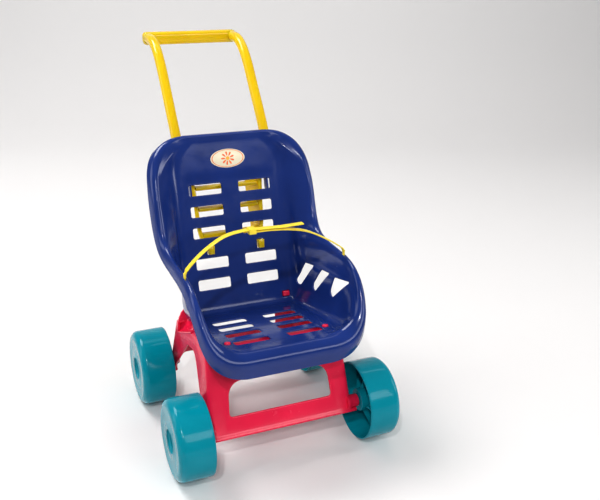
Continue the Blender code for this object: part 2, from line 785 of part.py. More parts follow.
def strap(route, side):
    """Flat ribbon along a route in the belt's plane, with a neck and a ball at its foot."""
    rings = []
    foot = Vector((side * ANCHOR_X, BELT_Y, ANCHOR_Z))
    for angle in (-60.0, 0.0, 50.0):
        radius = BALL_RADIUS * math.cos(math.radians(angle))
        height = BALL_RADIUS * math.sin(math.radians(angle))
        rings.append([(foot.x + radius * u, foot.y + radius * v, foot.z + height) for u, v in RIBBON_CORNERS])
    for z in (ANCHOR_Z + NECK_FOOT, ANCHOR_Z + NECK_TOP):
        rings.append([(foot.x + NECK / 2 * math.copysign(1, u), foot.y + NECK / 2 * math.copysign(1, v), z)
                      for u, v in RIBBON_CORNERS])
    for i, (x, z) in enumerate(route):
        before = route[max(i - 1, 0)]
        after = route[min(i + 1, len(route) - 1)]
        tangent = Vector((after[0] - before[0], 0, after[1] - before[1])).normalized()
        normal = Vector((tangent.z, 0, -tangent.x))
        ring = []
        for u, v in RIBBON_CORNERS:
            point = Vector((x, BELT_Y, z)) + normal * math.copysign(BELT_THICK / 2, u)
            ring.append((point.x, point.y + math.copysign(BELT_WIDTH / 2, v), point.z))
        rings.append(ring)
    return loft(rings)


def arc_points(points, steps):
    """Smooth Catmull-Rom curve through a few route points."""
    result = []
    padded = [points[0]] + list(points) + [points[-1]]
    for i in range(1, len(padded) - 2):
        p0, p1, p2, p3 = (Vector((*padded[i + k], 0)) for k in (-1, 0, 1, 2))
        for step in range(steps):
            t = step / steps
            point = 0.5 * ((2 * p1) + (p2 - p0) * t + (2 * p0 - 5 * p1 + 4 * p2 - p3) * t * t
                           + (3 * p1 - p0 - 3 * p2 + p3) * t ** 3)
            result.append((point.x, point.y))
    result.append(tuple(points[-1]))
    return result


def buckle_block():
    """Loop at the buckle strap's end that the tongue passes through."""
    def place(u, v, w):
        return (w, BELT_Y + u, BUCKLE_Z + v)
    outline = rounded_rect(BELT_WIDTH / 2 + BUCKLE_RIM, BUCKLE_HEIGHT / 2, 1.5, 2)
    return prism(outline, place, BUCKLE_LOW_X, BUCKLE_HIGH_X)


def buckle_gap():
    """Space inside the loop for the tongue, above the strap's own end."""
    def place(u, v, w):
        return (w, BELT_Y + u, BUCKLE_Z + 1.4 + v)
    outline = rounded_rect(BELT_WIDTH / 2 + 0.5, 1.5, 0.4, 1)
    return prism(outline, place, BUCKLE_LOW_X - 8.0, BUCKLE_HIGH_X + 8.0)


def about_anchor(part):
    """The same solid with its vertices measured from the belt's swing axis."""
    verts, faces = part
    return [(x, y - BELT_Y, z - ANCHOR_Z) for x, y, z in verts], faces


def build_belt(rig, finish):
    axis_point = (0.0, BELT_Y, ANCHOR_Z)
    tongue = about_anchor(strap(arc_points(TONGUE_ROUTE, 3), -1))
    add_object("belt_tongue", mesh_from("belt_tongue", *tongue), finish, rig, axis_point)
    buckle = about_anchor(strap(arc_points(BUCKLE_ROUTE, 3), 1))
    strap_item = add_object("belt_buckle", mesh_from("belt_buckle", *buckle), finish, rig, axis_point)
    block = mesh_from("buckle_block", *about_anchor(buckle_block()))
    boolean(strap_item, add_object("buckle_block", block, None, rig, axis_point), "UNION")
    gap = mesh_from("buckle_gap", *about_anchor(buckle_gap()))
    boolean(strap_item, add_object("buckle_gap", gap, None, rig, axis_point))


def build_label(rig, finish):
    """Plain oval sticker on the upper back."""
    axis = Vector((0, 1, -BACK_SLOPE)).normalized()
    up = Vector((0, BACK_SLOPE, 1)).normalized()
    centre = Vector((0, back_y(LABEL_Z), LABEL_Z))
    outline = [(u * LABEL_WIDTH / 2, v * LABEL_HEIGHT / 2) for u, v in circle(1.0, 28)]

    def place(u, v, w):
        return tuple(centre + Vector((u, 0, 0)) + up * v + axis * w)
    verts, faces = prism(outline, place, -TOUCH_GAP - LABEL_FILM, -TOUCH_GAP)
    add_object("back_label", mesh_from("back_label", verts, faces), finish, rig)


def main():
    clear_scene()
    rig = bpy.data.objects.new("stroller", None)
    rig.location = (0.0, RIG_SHIFT * MM, 0.0)
    bpy.context.scene.collection.objects.link(rig)
    blue = plastic("seat_plastic", BLUE, 0.22)
    pink = plastic("base_plastic", PINK, 0.24)
    yellow = plastic("handle_plastic", YELLOW, 0.28)
    pale = plastic("belt_plastic", PALE_YELLOW, 0.35)
    teal = plastic("wheel_plastic", TEAL, 0.25)
    cream = plastic("label_film", CREAM, 0.4)
    build_seat(rig, blue)
    build_base(rig, pink)
    build_handle(rig, yellow)
    build_belt(rig, pale)
    build_label(rig, cream)
    for end, end_name in ((-1, "front"), (1, "rear")):
        for side, side_name in ((-1, "left"), (1, "right")):
            build_wheel("wheel_%s_%s" % (end_name, side_name), side, end, rig, teal)
            build_pin("axle_pin_%s_%s" % (end_name, side_name), side, end, rig, pink)


main()
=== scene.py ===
"""Looks of the doll stroller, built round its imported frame.

Shapes are drawn in millimetres with Y = 0 midway between the axles, as in the
CAD source, and turned into metres in the row frame by world(). A place
function turns an outline's u and v, and a depth w, into a drawn point.
"""

import json
import math

import bmesh
import bpy
from mathutils import Euler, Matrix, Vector
from mathutils.bvhtree import BVHTree

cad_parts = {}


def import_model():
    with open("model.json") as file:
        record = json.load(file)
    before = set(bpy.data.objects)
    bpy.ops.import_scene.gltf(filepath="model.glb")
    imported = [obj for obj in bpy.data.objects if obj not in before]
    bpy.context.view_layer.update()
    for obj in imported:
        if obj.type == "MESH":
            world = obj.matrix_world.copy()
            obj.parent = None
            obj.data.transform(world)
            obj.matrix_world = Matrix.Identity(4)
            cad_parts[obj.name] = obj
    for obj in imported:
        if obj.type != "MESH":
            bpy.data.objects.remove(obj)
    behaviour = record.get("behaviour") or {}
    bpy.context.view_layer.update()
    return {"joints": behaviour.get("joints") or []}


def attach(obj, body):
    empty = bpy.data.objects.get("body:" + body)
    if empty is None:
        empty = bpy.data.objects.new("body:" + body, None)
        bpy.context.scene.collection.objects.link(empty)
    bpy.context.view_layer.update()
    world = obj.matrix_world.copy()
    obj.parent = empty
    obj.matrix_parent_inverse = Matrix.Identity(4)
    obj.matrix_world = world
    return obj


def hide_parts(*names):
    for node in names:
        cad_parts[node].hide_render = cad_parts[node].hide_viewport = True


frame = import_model()

MM = 0.001
JOINTS = {joint["name"]: Vector(joint["pos_m"]) for joint in frame["joints"]}
FRONT_AXLE = JOINTS["wheel_spin_front_left"]
REAR_AXLE = JOINTS["wheel_spin_rear_left"]
MIDDLE_Y = (FRONT_AXLE.y + REAR_AXLE.y) / 2
AXLE_Z = FRONT_AXLE.z / MM
HALF_BASE = (REAR_AXLE.y - FRONT_AXLE.y) / 2 / MM

# Seat: planes of the back and the pan as a slope and a (y, z) point they pass
BACK_SLOPE = 0.286
BACK_REF = (75.2, 185.3)
PAN_SLOPE = 0.198
PAN_REF = (10.0, 160.5)
SEAT_WALL = 2.6
SUBDIVISIONS = 3
LIP = 1.2
TOUCH_GAP = 0.3
BACK_AXIS = Vector((0, 1, -BACK_SLOPE)).normalized()
BACK_UP = Vector((0, BACK_SLOPE, 1)).normalized()
PAN_AXIS = Vector((0, PAN_SLOPE, 1)).normalized()
PAN_ALONG = Vector((0, 1, -PAN_SLOPE)).normalized()
COLUMNS = (-1.0, -0.9, -0.845, -0.45, 0.0, 0.45, 0.845, 0.9, 1.0)
SIDE_WALL_X = 70.0
RECESS = 1.4
RECESS_SHARE = 0.88
RECESS_LOW_Z = 178.0
RECESS_HIGH_Z = 349.0
LEDGE_Z = 225.8
LEDGE_SLOPE = 0.135
LEDGE_STEP = 2.4
LEDGE_START = (-96.0, -80.0)
LEDGE_END = (66.0, 84.0)

# Seat openings: reaches are how far their cutters go along the line of sight
SLOT_INNER_X = 13.5
SLOT_OUTER_X = 64.5
BACK_SLOT_Z = (330.8, 299.7, 268.7, 223.1, 192.3)
BACK_SLOT_HEIGHT = 16.5
BACK_SLOT_CORNER = 2.8
PAN_SLOT_Y = (10.0, -20.0, -51.0, -86.0)
PAN_SLOT_LENGTH = 19.5
PAN_SLOT_CORNER = 5.0
TAB_X = 40.0
TAB_Z = 243.0
TAB_WIDTH = 10.0
TAB_HEIGHT = 13.0
TAB_PLAY = 0.6
TAB_CORNER = 1.6
PEG_HOLE = (6.0, 6.4, 4.8)
PEG_HOLE_X = 72.3
SIDE_SLOTS = (
    ((51.0, 218.5), (29.0, 221.5), (60.5, 184.0), 6.0),
    ((6.0, 224.5), (-21.0, 229.0), (13.5, 194.5), 7.0),
    ((-37.0, 230.0), (-79.0, 239.0), (-42.5, 210.0), 8.0),
)
SIDE_SLOT_CORNER = 1.5
SIDE_SLOT_INSETS = ((-1.6, -1.6), (2.6, -2.2))
FLAT_REACH = (-8.0, 8.0)
SIDE_REACH = (84.0, 122.0)
ANCHOR_REACH = (-11.0, 12.0)
GUIDE_X = 61.0
GUIDE_HALF = (1.3, 12.0)
GUIDE_DEPTH = 14.0

# Base: flange as (rise, outward), crown as (share of the height, drop, inset), windows
# as a height and corners (x, up the panel, rounding), reaches as its cutters' extents
BASE_BOTTOM_Z = 46.5
BASE_BOTTOM_X = 108.5
BASE_TOP_X = 101.0
BASE_TOP_GAP = 0.7
BASE_WALL = 3.0
BASE_CORNER = 8.0
BASE_FLANGE = ((0.0, 1.5), (0.8, 2.2), (2.6, 2.2), (4.4, 1.0), (6.5, 0.0))
BASE_CROWN = ((0.72, 0.0, 0.0), (1.0, 2.2, 0.0), (1.0, 0.7, 0.5), (1.0, 0.0, 2.0))
PANEL_SLOPE = 0.341
PANEL_REF = (78.6, 142.6)
TOP_WINDOW = (80.0, 54.0, 12.0)
SHOULDER_HIGH = (-2.0, 159.6)
SHOULDER_LOW = (66.0, 126.8)
SHOULDER_INNER_X = 85.0
REAR_NOTCH = ((-92.0, 30.0), (92.0, 30.0), (92.0, 64.0), (84.0, 72.0), (-84.0, 72.0), (-92.0, 64.0))
SIDE_ARCH = ((-84.0, 38.0), (-74.0, 66.0), (-33.0, 130.0), (-21.0, 141.0),
             (12.0, 135.5), (19.0, 130.0), (78.0, 66.0), (88.0, 38.0))
ARCH_CORNER = 7.0
ARCH_REACH = (-125.0, 125.0)
TOP_REACH = (130.0, 200.0)
NOTCH_REACH = (70.0, 130.0)
WINDOW_REACH = (-14.0, 14.0)
FRONT_WINDOW = (102.0, ((75.0, 21.0, 24.0), (-75.0, 21.0, 24.0),
                        (-78.5, -31.0, 8.0), (78.5, -31.0, 8.0)))
REAR_WINDOW = (112.0, ((62.0, 16.0, 9.0), (-62.0, 16.0, 9.0),
                       (-68.0, -15.0, 7.0), (68.0, -15.0, 7.0)))
FLANK_WALL = 2.4
FLANK_LOWER = ((22.0, 148.0), (44.0, 137.4))
FLANK_LOWER_END = ((99.0, 71.5, 138.0), (94.5, 75.0, 151.0), (91.0, 76.5, 159.0))
FLANK_UPPER_Y = (SHOULDER_HIGH[0], 18.0, 38.0, 54.0)
FLANK_UPPER_END = ((86.5, 66.0, 147.0), (88.0, 71.0, 154.0), (89.0, 74.0, 159.5))
BOSS_RADIUS = 9.5
BOSS_END_X = 118.8
SHELF_X = 107.0
PEG_RADIUS = 4.5
PEG_X = 72.5
PEG_Y = -82.0
PEG_DOME = ((1.0, 0.6), (0.94, 1.1), (0.80, 1.5), (0.45, 1.7), (0.1, 1.75))
REAR_TAB_X = 74.0
REAR_TAB_Z = 162.0
REAR_TAB_HALF = (5.5, 4.0)
REAR_TAB_TIP = ((1.0, -1.7), (0.93, -2.2), (0.78, -2.5))
REAR_POST = ((27.5, -20.0), (25.5, -12.0), (21.0, -4.0), (18.0, -1.4), (15.5, -0.8),
             (10.0, -5.0), (10.0, 6.0), (6.0, 9.0), (-6.0, 9.0), (-10.0, 6.0),
             (-10.0, -26.0), (10.0, -26.0), (10.0, -20.0))

# Wheels
WHEEL_OUTER_X = 162.4
WHEEL_INNER_X = 113.2
WHEEL_SHELL = 2.6
SHOULDER = 10.0
RECESS_RADIUS = 13.5
RECESS_FLOOR_X = 138.0
HUB_INNER_X = 119.5
HUB_RADIUS = 16.5
HUB_BORE = 5.05
PIN_RADIUS = 5.0
PIN_HEAD_RADIUS = 10.0
WHEEL_SIDES = 112
RIB_COUNT = 6
RIB_TURN = 14
RIB_HALF = 1.0
RIB_OUTLINE = ((HUB_RADIUS - 1.0, 126.0), (AXLE_Z - WHEEL_SHELL - 1.0, 143.0),
               (AXLE_Z - WHEEL_SHELL + 0.4, 152.0), (AXLE_Z - 9.5, 158.6),
               (HUB_RADIUS - 1.0, 158.6))

# Handle: legs as (z, x, width, depth, twist), bends as (x, y, z),
# ribs as (z, height, depth, half length), ends as (offset, share of full size)
BAR_X = 70.0
BAR_WIDTH = 14.5
BAR_DEPTH = 15.5
BAR_CORNER = 6.4
BAR_TIP = ((3.5, 0.97), (6.5, 0.86), (8.3, 0.66), (9.0, 0.4))
GRIP_SIZE = 20.0
GRIP_CORNER = 6.5
GRIP_END = ((0.3, 0.40), (-0.5, 0.68), (-2.0, 0.88), (-4.5, 0.98), (-8.0, 1.0))
GRIP_WAIST = 0.985
LEG_STANDOFF = 15.0
HANDLE_LEGS = ((236.0, 41.5, 6.5, 22.0, -0.22), (262.0, 47.0, 6.5, 32.0, -0.26),
               (300.0, 48.0, 6.5, 38.0, -0.28), (340.0, 50.5, 7.0, 42.0, -0.28),
               (362.0, 57.0, 10.0, 34.0, -0.14))
HANDLE_BENDS = ((68.0, 148.0, 381.0), (70.0, 161.5, 405.0), (70.0, 209.0, 465.0),
                (70.0, 234.5, 496.0), (70.0, 258.0, 516.5), (70.0, 283.0, 527.0),
                (70.0, 314.0, 528.0))
HANDLE_RIBS = ((327.0, 5.0, 12.0, 49.0), (296.0, 5.0, 12.0, 47.5), (255.0, 11.0, 12.0, 45.0))
CROSSBAR_Y = 318.5
CROSSBAR_Z = 527.0
HOOK_OUTLINE = ((-3.9, -6.4), (3.9, -6.4), (4.9, 6.4), (-4.9, 6.4))
HOOK_RIDGE = ((-0.55, -5.2), (0.55, -5.2), (0.65, 5.4), (-0.65, 5.4))
HOOK_RIDGE_PLACES = (-2.6, 0.0, 2.6)

# Belt
BELT_Y = -41.5
BELT_WIDTH = 9.0
BELT_THICK = 1.8
STRAP_THICK = BELT_THICK - 0.3
RIDGE_HEIGHT = 0.35
RIDGE_PITCH = 2.4
ANCHOR_X = 117.0
ANCHOR_Z = 256.5
ANCHOR_SLOT_X = 5.6
ANCHOR_SLOT_Y = 19.0
BALL_RADIUS = 3.6
NECK = 3.6
TONGUE_ROUTE = ((-114.5, 276.0), (-107.5, 284.0), (-96.5, 294.5), (-80.0, 307.0), (-60.0, 317.5),
                (-36.0, 321.8), (-10.0, 321.8), (20.0, 320.8), (52.0, 321.5))
BUCKLE_ROUTE = ((114.5, 275.5), (107.0, 281.5), (95.0, 289.5), (78.0, 299.5), (56.0, 310.0),
                (30.0, 315.8), (4.0, 318.3), (-24.0, 318.6))
BUCKLE_X = (-28.0, -18.0)
BUCKLE_Z = 320.4

# Label
LABEL_Z = 373.0
LABEL_WIDTH = 54.0
LABEL_HEIGHT = 28.0
LABEL_FACE = 0.88
PETALS = 9
PETAL_TURN = 0.35

# Camera and lights: metres, degrees and watts
CAMERA_PLACE = (-0.36176, -1.06974, 0.70568)
CAMERA_TURN = (67.6075, -1.1663, -23.0307)
CAMERA_LENS = 47.848
FLOOR_FRONT = -9.0
FLOOR_BACK = 1.5
FLOOR_HALF = 7.0
FLOOR_TURN = -20
SWEEP_RADIUS = 1.2
SWEEP_TOP = 3.4
LIGHT_AIM = (0.0, -0.05, 0.25)
LIGHTS = (
    ("key", (-0.9, 1.0, 2.3), LIGHT_AIM, (1.2, 1.0), 41.0, "RECTANGLE"),
    ("left_wall", (-2.4, 0.8, 1.1), LIGHT_AIM, (1.0, 1.8), 13.0, "RECTANGLE"),
    ("right_strip", (1.8, -0.7, 1.0), LIGHT_AIM, (0.45, 1.2), 10.0, "RECTANGLE"),
    ("front_fill", (0.9, -2.6, 1.7), LIGHT_AIM, (1.4, 1.0), 21.0, "RECTANGLE"),
    ("backdrop", (0.9, 0.9, 2.6), (1.0, 2.4, 0.9), (1.6, 0.8), 8.0, "RECTANGLE"),
    ("spot_high", (-0.75, -1.45, 1.75), LIGHT_AIM, (0.07, 0.07), 12.0, "DISK"),
    ("spot_low", (-0.62, -1.60, 1.30), LIGHT_AIM, (0.05, 0.05), 6.0, "DISK"),
)


def world(point):
    """A drawn point in millimetres as a point of the row frame in metres."""
    return Vector((point[0] * MM, point[1] * MM + MIDDLE_Y, point[2] * MM))


def drawn(point):
    """A row frame point in metres as a drawn one in millimetres."""
    return Vector((point.x / MM, (point.y - MIDDLE_Y) / MM, point.z / MM))


# ---- mesh helpers

def mesh_from(name, verts, faces, facing, origin):
    """Mesh in metres with outward faces, from points in millimetres."""
    shift = origin or Vector((0, 0, 0))
    mesh = bpy.data.meshes.new(name)
    mesh.from_pydata([tuple(world(v) - shift) for v in verts], [], faces)
    shell = bmesh.new()
    shell.from_mesh(mesh)
    bmesh.ops.recalc_face_normals(shell, faces=shell.faces)
    if facing:
        total = sum((face.normal * face.calc_area() for face in shell.faces), Vector())
        if total.dot(Vector(facing)) < 0:
            bmesh.ops.reverse_faces(shell, faces=shell.faces)
    shell.to_mesh(mesh)
    shell.free()
    return mesh


def new_object(name, data, origin=None):
    item = bpy.data.objects.new(name, data)
    item.location = origin or Vector((0, 0, 0))
    bpy.context.scene.collection.objects.link(item)
    return item


def solid(name, parts, facing=None, origin=None):
    """Object made of several parts, each a list of points and one of faces."""
    return new_object(name, mesh_from(name, *merge(parts), facing, origin), origin)


def bake(item, *helpers):
    """Apply every modifier of an object and delete the helper objects it used."""
    bpy.context.view_layer.update()
    graph = bpy.context.evaluated_depsgraph_get()
    mesh = bpy.data.meshes.new_from_object(item.evaluated_get(graph))
    item.modifiers.clear()
    item.data = mesh
    for helper in helpers:
        bpy.data.objects.remove(helper, do_unlink=True)
    return item


def cut(item, *tools):
    """Take tools out of an object, in order, and delete them."""
    for tool in tools:
        change = item.modifiers.new("Cut", "BOOLEAN")
        change.operation = "DIFFERENCE"
        change.solver = "EXACT"
        change.object = tool
    return bake(item, *tools)


def thicken(item, thickness, even=True):
    """Inward wall for an open sheet, not yet applied."""
    wall = item.modifiers.new("Wall", "SOLIDIFY")
    wall.thickness = thickness * MM
    wall.offset = -1.0
    wall.use_even_offset = even
    return item


def round_edges(item, width):
    """Bevelled edges, applied."""
    soft = item.modifiers.new("Edges", "BEVEL")
    soft.width = width * MM
    soft.segments = 2
    soft.limit_method = "ANGLE"
    soft.angle_limit = math.radians(35.0)
    return bake(item)


def smooth(item, angle=40.0):
    item.data.shade_smooth()
    item.data.set_sharp_from_angle(angle=math.radians(angle))
    return item


def join(name, items):
    """One object from several baked ones; the first one's origin is kept."""
    target = items[0]
    shell = bmesh.new()
    shell.from_mesh(target.data)
    back = target.matrix_basis.inverted()
    for item in items[1:]:
        mesh = item.data.copy()
        mesh.transform(back @ item.matrix_basis)
        shell.from_mesh(mesh)
        bpy.data.objects.remove(item, do_unlink=True)
    shell.to_mesh(target.data)
    shell.free()
    target.name = name
    return target


def rounded_rect(half_w, half_h, radius, steps):
    points = []
    for turn, (sx, sy) in enumerate(((1, 1), (-1, 1), (-1, -1), (1, -1))):
        for step in range(steps + 1):
            angle = math.radians(90 * turn) + math.radians(90) * step / steps
            points.append((sx * (half_w - radius) + radius * math.cos(angle),
                           sy * (half_h - radius) + radius * math.sin(angle)))
    return points


def circle(radius, steps, phase=0.0):
    angles = [phase + 2 * math.pi * i / steps for i in range(steps)]
    return [(radius * math.cos(angle), radius * math.sin(angle)) for angle in angles]


def loft(rings, closed_ends=True):
    count = len(rings[0])
    verts = [tuple(point) for ring in rings for point in ring]
    faces = []
    for row in range(len(rings) - 1):
        for i in range(count):
            j = (i + 1) % count
            a = row * count
            faces.append((a + i, a + j, a + count + j, a + count + i))
    if closed_ends:
        faces.append(tuple(reversed(range(count))))
        faces.append(tuple(range(len(verts) - count, len(verts))))
    return verts, faces


def ring_loft(rings):
    """Loft through rings that come round to the first one again."""
    verts, faces = loft(rings + rings[:1], closed_ends=False)
    total = len(verts) - len(rings[0])
    return verts[:total], [tuple(i % total for i in face) for face in faces]


def prism(outline, place, low, high):
    return loft([[place(u, v, w) for u, v in outline] for w in (low, high)])


def stack(outline, place, levels):
    """Rings of one outline at several (size, w)."""
    return [[place(u * size, v * size, w) for u, v in outline] for size, w in levels]


def extruded(outline, axis, low, high):
    """Solid swept by an outline of drawn points along an axis."""
    return loft([[tuple(point + axis * w) for point in outline] for w in (low, high)])


def on_plane(centre, up, axis):
    """Place function of a plane across X: v goes up it and w through it."""
    def place(u, v, w):
        return tuple(centre + Vector((u, 0, 0)) + up * v + axis * w)
    return place


def from_side(u, v, w):
    return (w, u, v)


def from_front(u, v, w):
    return (u, w, v)


def from_above(u, v, w):
    return (u, v, w)


def merge(parts):
    verts = []
    faces = []
    for part_verts, part_faces in parts:
        start = len(verts)
        verts += part_verts
        faces += [tuple(i + start for i in face) for face in part_faces]
    return verts, faces


def moved(part, y, z):
    verts, faces = part
    return [(x, v + y, w + z) for x, v, w in verts], faces


def mirrored(parts):
    """The parts and their copies across X = 0."""
    copies = []
    for verts, faces in parts:
        copies.append(([(-x, y, z) for x, y, z in verts], [tuple(reversed(f)) for f in faces]))
    return parts + copies


def dense(points, step, closed=True):
    """The same outline with extra points, at most a step apart."""
    result = []
    count = len(points)
    for i in range(count if closed else count - 1):
        a = Vector(points[i])
        b = Vector(points[(i + 1) % count])
        parts = max(1, math.ceil((b - a).length / step))
        result += [a.lerp(b, k / parts) for k in range(parts)]
    if not closed:
        result.append(Vector(points[-1]))
    return result


def curve_through(points, steps):
    """Catmull-Rom curve through points of any size."""
    points = [Vector(p) for p in points]
    padded = [points[0] * 2 - points[1]] + points + [points[-1] * 2 - points[-2]]
    result = []
    for i in range(1, len(padded) - 2):
        p0, p1, p2, p3 = padded[i - 1:i + 3]
        for step in range(steps):
            t = step / steps
            result.append(0.5 * ((2 * p1) + (p2 - p0) * t + (2 * p0 - 5 * p1 + 4 * p2 - p3) * t * t
                                 + (3 * p1 - p0 - 3 * p2 + p3) * t ** 3))
    result.append(points[-1])
    return result


def bend(start, corner, end, steps):
    """Curve from start to end that is drawn towards the corner between them."""
    curve = []
    for step in range(steps + 1):
        t = step / steps
        curve.append(start.lerp(corner, t).lerp(corner.lerp(end, t), t))
    return curve


def tube(points, normals, radius, closed=True):
    """Ten-sided bead along a line; normals keep its rings from twisting."""
    count = len(points)
    rings = []
    for i, point in enumerate(points):
        before = points[i - 1] if closed or i else point
        after = points[(i + 1) % count] if closed or i + 1 < count else point
        tangent = (after - before).normalized()
        up = (normals[i] - tangent * normals[i].dot(tangent)).normalized()
        side = tangent.cross(up)
        rings.append([point + up * (radius * math.cos(2 * math.pi * k / 10))
                      + side * (radius * math.sin(2 * math.pi * k / 10)) for k in range(10)])
    return ring_loft(rings) if closed else loft(rings)


def turned(profile, sides, flip, closed=True):
    """Solid of revolution about X through the drawn origin."""
    angles = [2 * math.pi * i / sides for i in range(sides)]
    rings = [[(flip * x, radius * math.sin(angle), radius * math.cos(angle)) for angle in angles]
             for x, radius in profile]
    return ring_loft(rings) if closed else loft(rings)


def arc(centre, radius, start, end, steps):
    """Points of an arc between two angles in degrees."""
    angles = [math.radians(start + (end - start) * i / steps) for i in range(steps + 1)]
    x, y = centre
    return [(x + radius * math.cos(angle), y + radius * math.sin(angle)) for angle in angles]


def hull_order(points):
    """Corners of the convex hull, in order."""
    points = sorted(set(points))
    chain = []
    for sweep in (points, points[::-1]):
        part = []
        for p in sweep:
            while len(part) > 1:
                (ax, ay), (bx, by) = part[-2], part[-1]
                if (bx - ax) * (p[1] - ay) - (by - ay) * (p[0] - ax) > 0:
                    break
                part.pop()
            part.append(p)
        chain += part[:-1]
    return chain


def back_y(z):
    return BACK_REF[0] + BACK_SLOPE * (z - BACK_REF[1])


def pan_z(y):
    return PAN_REF[1] + PAN_SLOPE * (PAN_REF[0] - y)


def on_back(x, z):
    """Place function of the back round a point of it; w goes backwards."""
    return on_plane(Vector((x, back_y(z), z)), BACK_UP, BACK_AXIS)


def on_pan(x, y):
    """Place function of the pan round a point of it; w goes upwards."""
    return on_plane(Vector((x, y, pan_z(y))), PAN_ALONG, PAN_AXIS)


def panel_y(z):
    return PANEL_REF[0] + PANEL_SLOPE * (PANEL_REF[1] - z)


def side_x(z):
    share = (z - BASE_BOTTOM_Z) / (PANEL_REF[1] + 20.0 - BASE_BOTTOM_Z)
    return BASE_BOTTOM_X + (BASE_TOP_X - BASE_BOTTOM_X) * share


# ---- materials

def linear(red, green, blue):
    """Linear colour from an sRGB one given as 0 to 255."""
    result = []
    for value in (red, green, blue):
        value /= 255.0
        result.append(value / 12.92 if value <= 0.04045 else ((value + 0.055) / 1.055) ** 2.4)
    return result


def put(node, values):
    """Set a node's input sockets by name."""
    for name, value in values.items():
        node.inputs[name].default_value = value
    return node


def colour_ramp(tree, source, stops):
    """Output of a ramp between two stops, each a position and a linear colour."""
    ramp = tree.nodes.new("ShaderNodeValToRGB")
    for element, (position, colour) in zip(ramp.color_ramp.elements, stops):
        element.position = position
        element.color = (*colour, 1.0)
    tree.links.new(source, ramp.inputs["Fac"])
    return ramp.outputs["Color"]


class Plastic:
    """Moulded plastic: flow marks in its colour, uneven gloss, fine grain and scuffs."""

    def __init__(self, name, colour, gloss, coat=0.0, flow=0.07, grain=0.03, scuffs=0.10,
                 specular=0.5, glow=0.0):
        self.material = bpy.data.materials.new(name)
        self.material.use_nodes = True
        self.tree = self.material.node_tree
        self.place = self.node("ShaderNodeTexCoord").outputs["Object"]
        shader = put(self.tree.nodes["Principled BSDF"], {
            "Metallic": 0.0, "Coat Weight": coat, "Coat Roughness": 0.05,
            "Specular IOR Level": specular, "Subsurface Weight": glow,
            "Subsurface Radius": (1.0, 0.55, 0.10), "Subsurface Scale": 0.018})
        base = linear(*colour)
        deep = [c * (1.0 - flow) for c in base]
        light = [min(1.0, c * (1.0 + flow) + 0.002) for c in base]
        marks = self.noise(9.0, 3.0, 0.5, 1.2)
        tint = colour_ramp(self.tree, marks, ((0.30, deep), (0.70, light)))
        self.link(tint, shader.inputs["Base Color"])
        cloud = self.span(self.noise(38.0, 4.0, 0.6, 0.4), 0.35, 0.65, *gloss)
        scratches = self.noise(120.0, 2.0, 0.55, 0.0, (1.0, 1.0, 0.35))
        total = self.node("ShaderNodeMath")
        total.operation = "ADD"
        self.link(cloud, total.inputs[0])
        self.link(self.span(scratches, 0.60, 0.78, 0.0, scuffs), total.inputs[1])
        self.link(total.outputs[0], shader.inputs["Roughness"])
        fine = self.bump(self.noise(420.0, 2.0, 0.5, 0.0), grain, 0.0006)
        waves = self.bump(self.noise(34.0, 1.0, 0.4, 0.0), 0.10, 0.0011, fine)
        self.link(waves, shader.inputs["Normal"])

    def node(self, kind):
        return self.tree.nodes.new(kind)

    def link(self, a, b):
        self.tree.links.new(a, b)

    def noise(self, scale, detail, rough, twist, stretch=None):
        texture = put(self.node("ShaderNodeTexNoise"), {
            "Scale": scale, "Detail": detail, "Roughness": rough, "Distortion": twist})
        source = self.place
        if stretch:
            mapping = put(self.node("ShaderNodeMapping"), {"Scale": stretch})
            self.link(source, mapping.inputs["Vector"])
            source = mapping.outputs["Vector"]
        self.link(source, texture.inputs["Vector"])
        return texture.outputs["Fac"]

    def bump(self, height, strength, distance, under=None):
        node = put(self.node("ShaderNodeBump"), {"Strength": strength, "Distance": distance})
        self.link(height, node.inputs["Height"])
        if under is not None:
            self.link(under, node.inputs["Normal"])
        return node.outputs["Normal"]

    def span(self, source, low, high, to_low, to_high):
        change = put(self.node("ShaderNodeMapRange"), {
            "From Min": low, "From Max": high, "To Min": to_low, "To Max": to_high})
        self.link(source, change.inputs["Value"])
        return change.outputs["Result"]


SEAT_PLASTIC = Plastic("moulded_blue", (27, 53, 121), (0.11, 0.19),
                       coat=0.12, flow=0.12, specular=0.34).material
BASE_PLASTIC = Plastic("moulded_pink", (230, 34, 76), (0.16, 0.24),
                       coat=0.15, flow=0.06, specular=0.42).material
HANDLE_PLASTIC = Plastic("moulded_yellow", (224, 191, 8), (0.14, 0.22),
                         coat=0.15, flow=0.05, specular=0.4, glow=0.3).material
BELT_PLASTIC = Plastic("flexible_yellow", (240, 216, 62), (0.28, 0.38),
                       flow=0.05, grain=0.05).material
WHEEL_PLASTIC = Plastic("moulded_teal", (0, 140, 157), (0.12, 0.19),
                        coat=0.12, flow=0.06, scuffs=0.16, specular=0.15).material
AXLE_PLASTIC = Plastic("pin_teal", (0, 122, 136), (0.20, 0.30), flow=0.06).material
LABEL_FILM = Plastic("printed_cream", (238, 228, 200), (0.26, 0.36), flow=0.03, grain=0.06).material
LABEL_INK = Plastic("printed_orange", (232, 104, 34), (0.26, 0.36), flow=0.06, grain=0.06).material
LABEL_GOLD = Plastic("printed_gold", (244, 176, 60), (0.26, 0.36), flow=0.06, grain=0.06).material


def settle(item, material, body, slot, *nodes):
    """Give a finished piece its material and body, and hide the CAD nodes it stands for; the slot
    argument is not used.
    """
    item.data.materials.clear()
    item.data.materials.append(material)
    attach(item, body)
    if nodes:
        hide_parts(*nodes)
    return item


# ---- seat

def between(row, other, share):
    """A station part way between two others."""
    mixed = []
    for a, b in zip(row, other):
        mixed.append(tuple(p + (q - p) * share for p, q in zip(a, b)))
    return tuple(mixed)


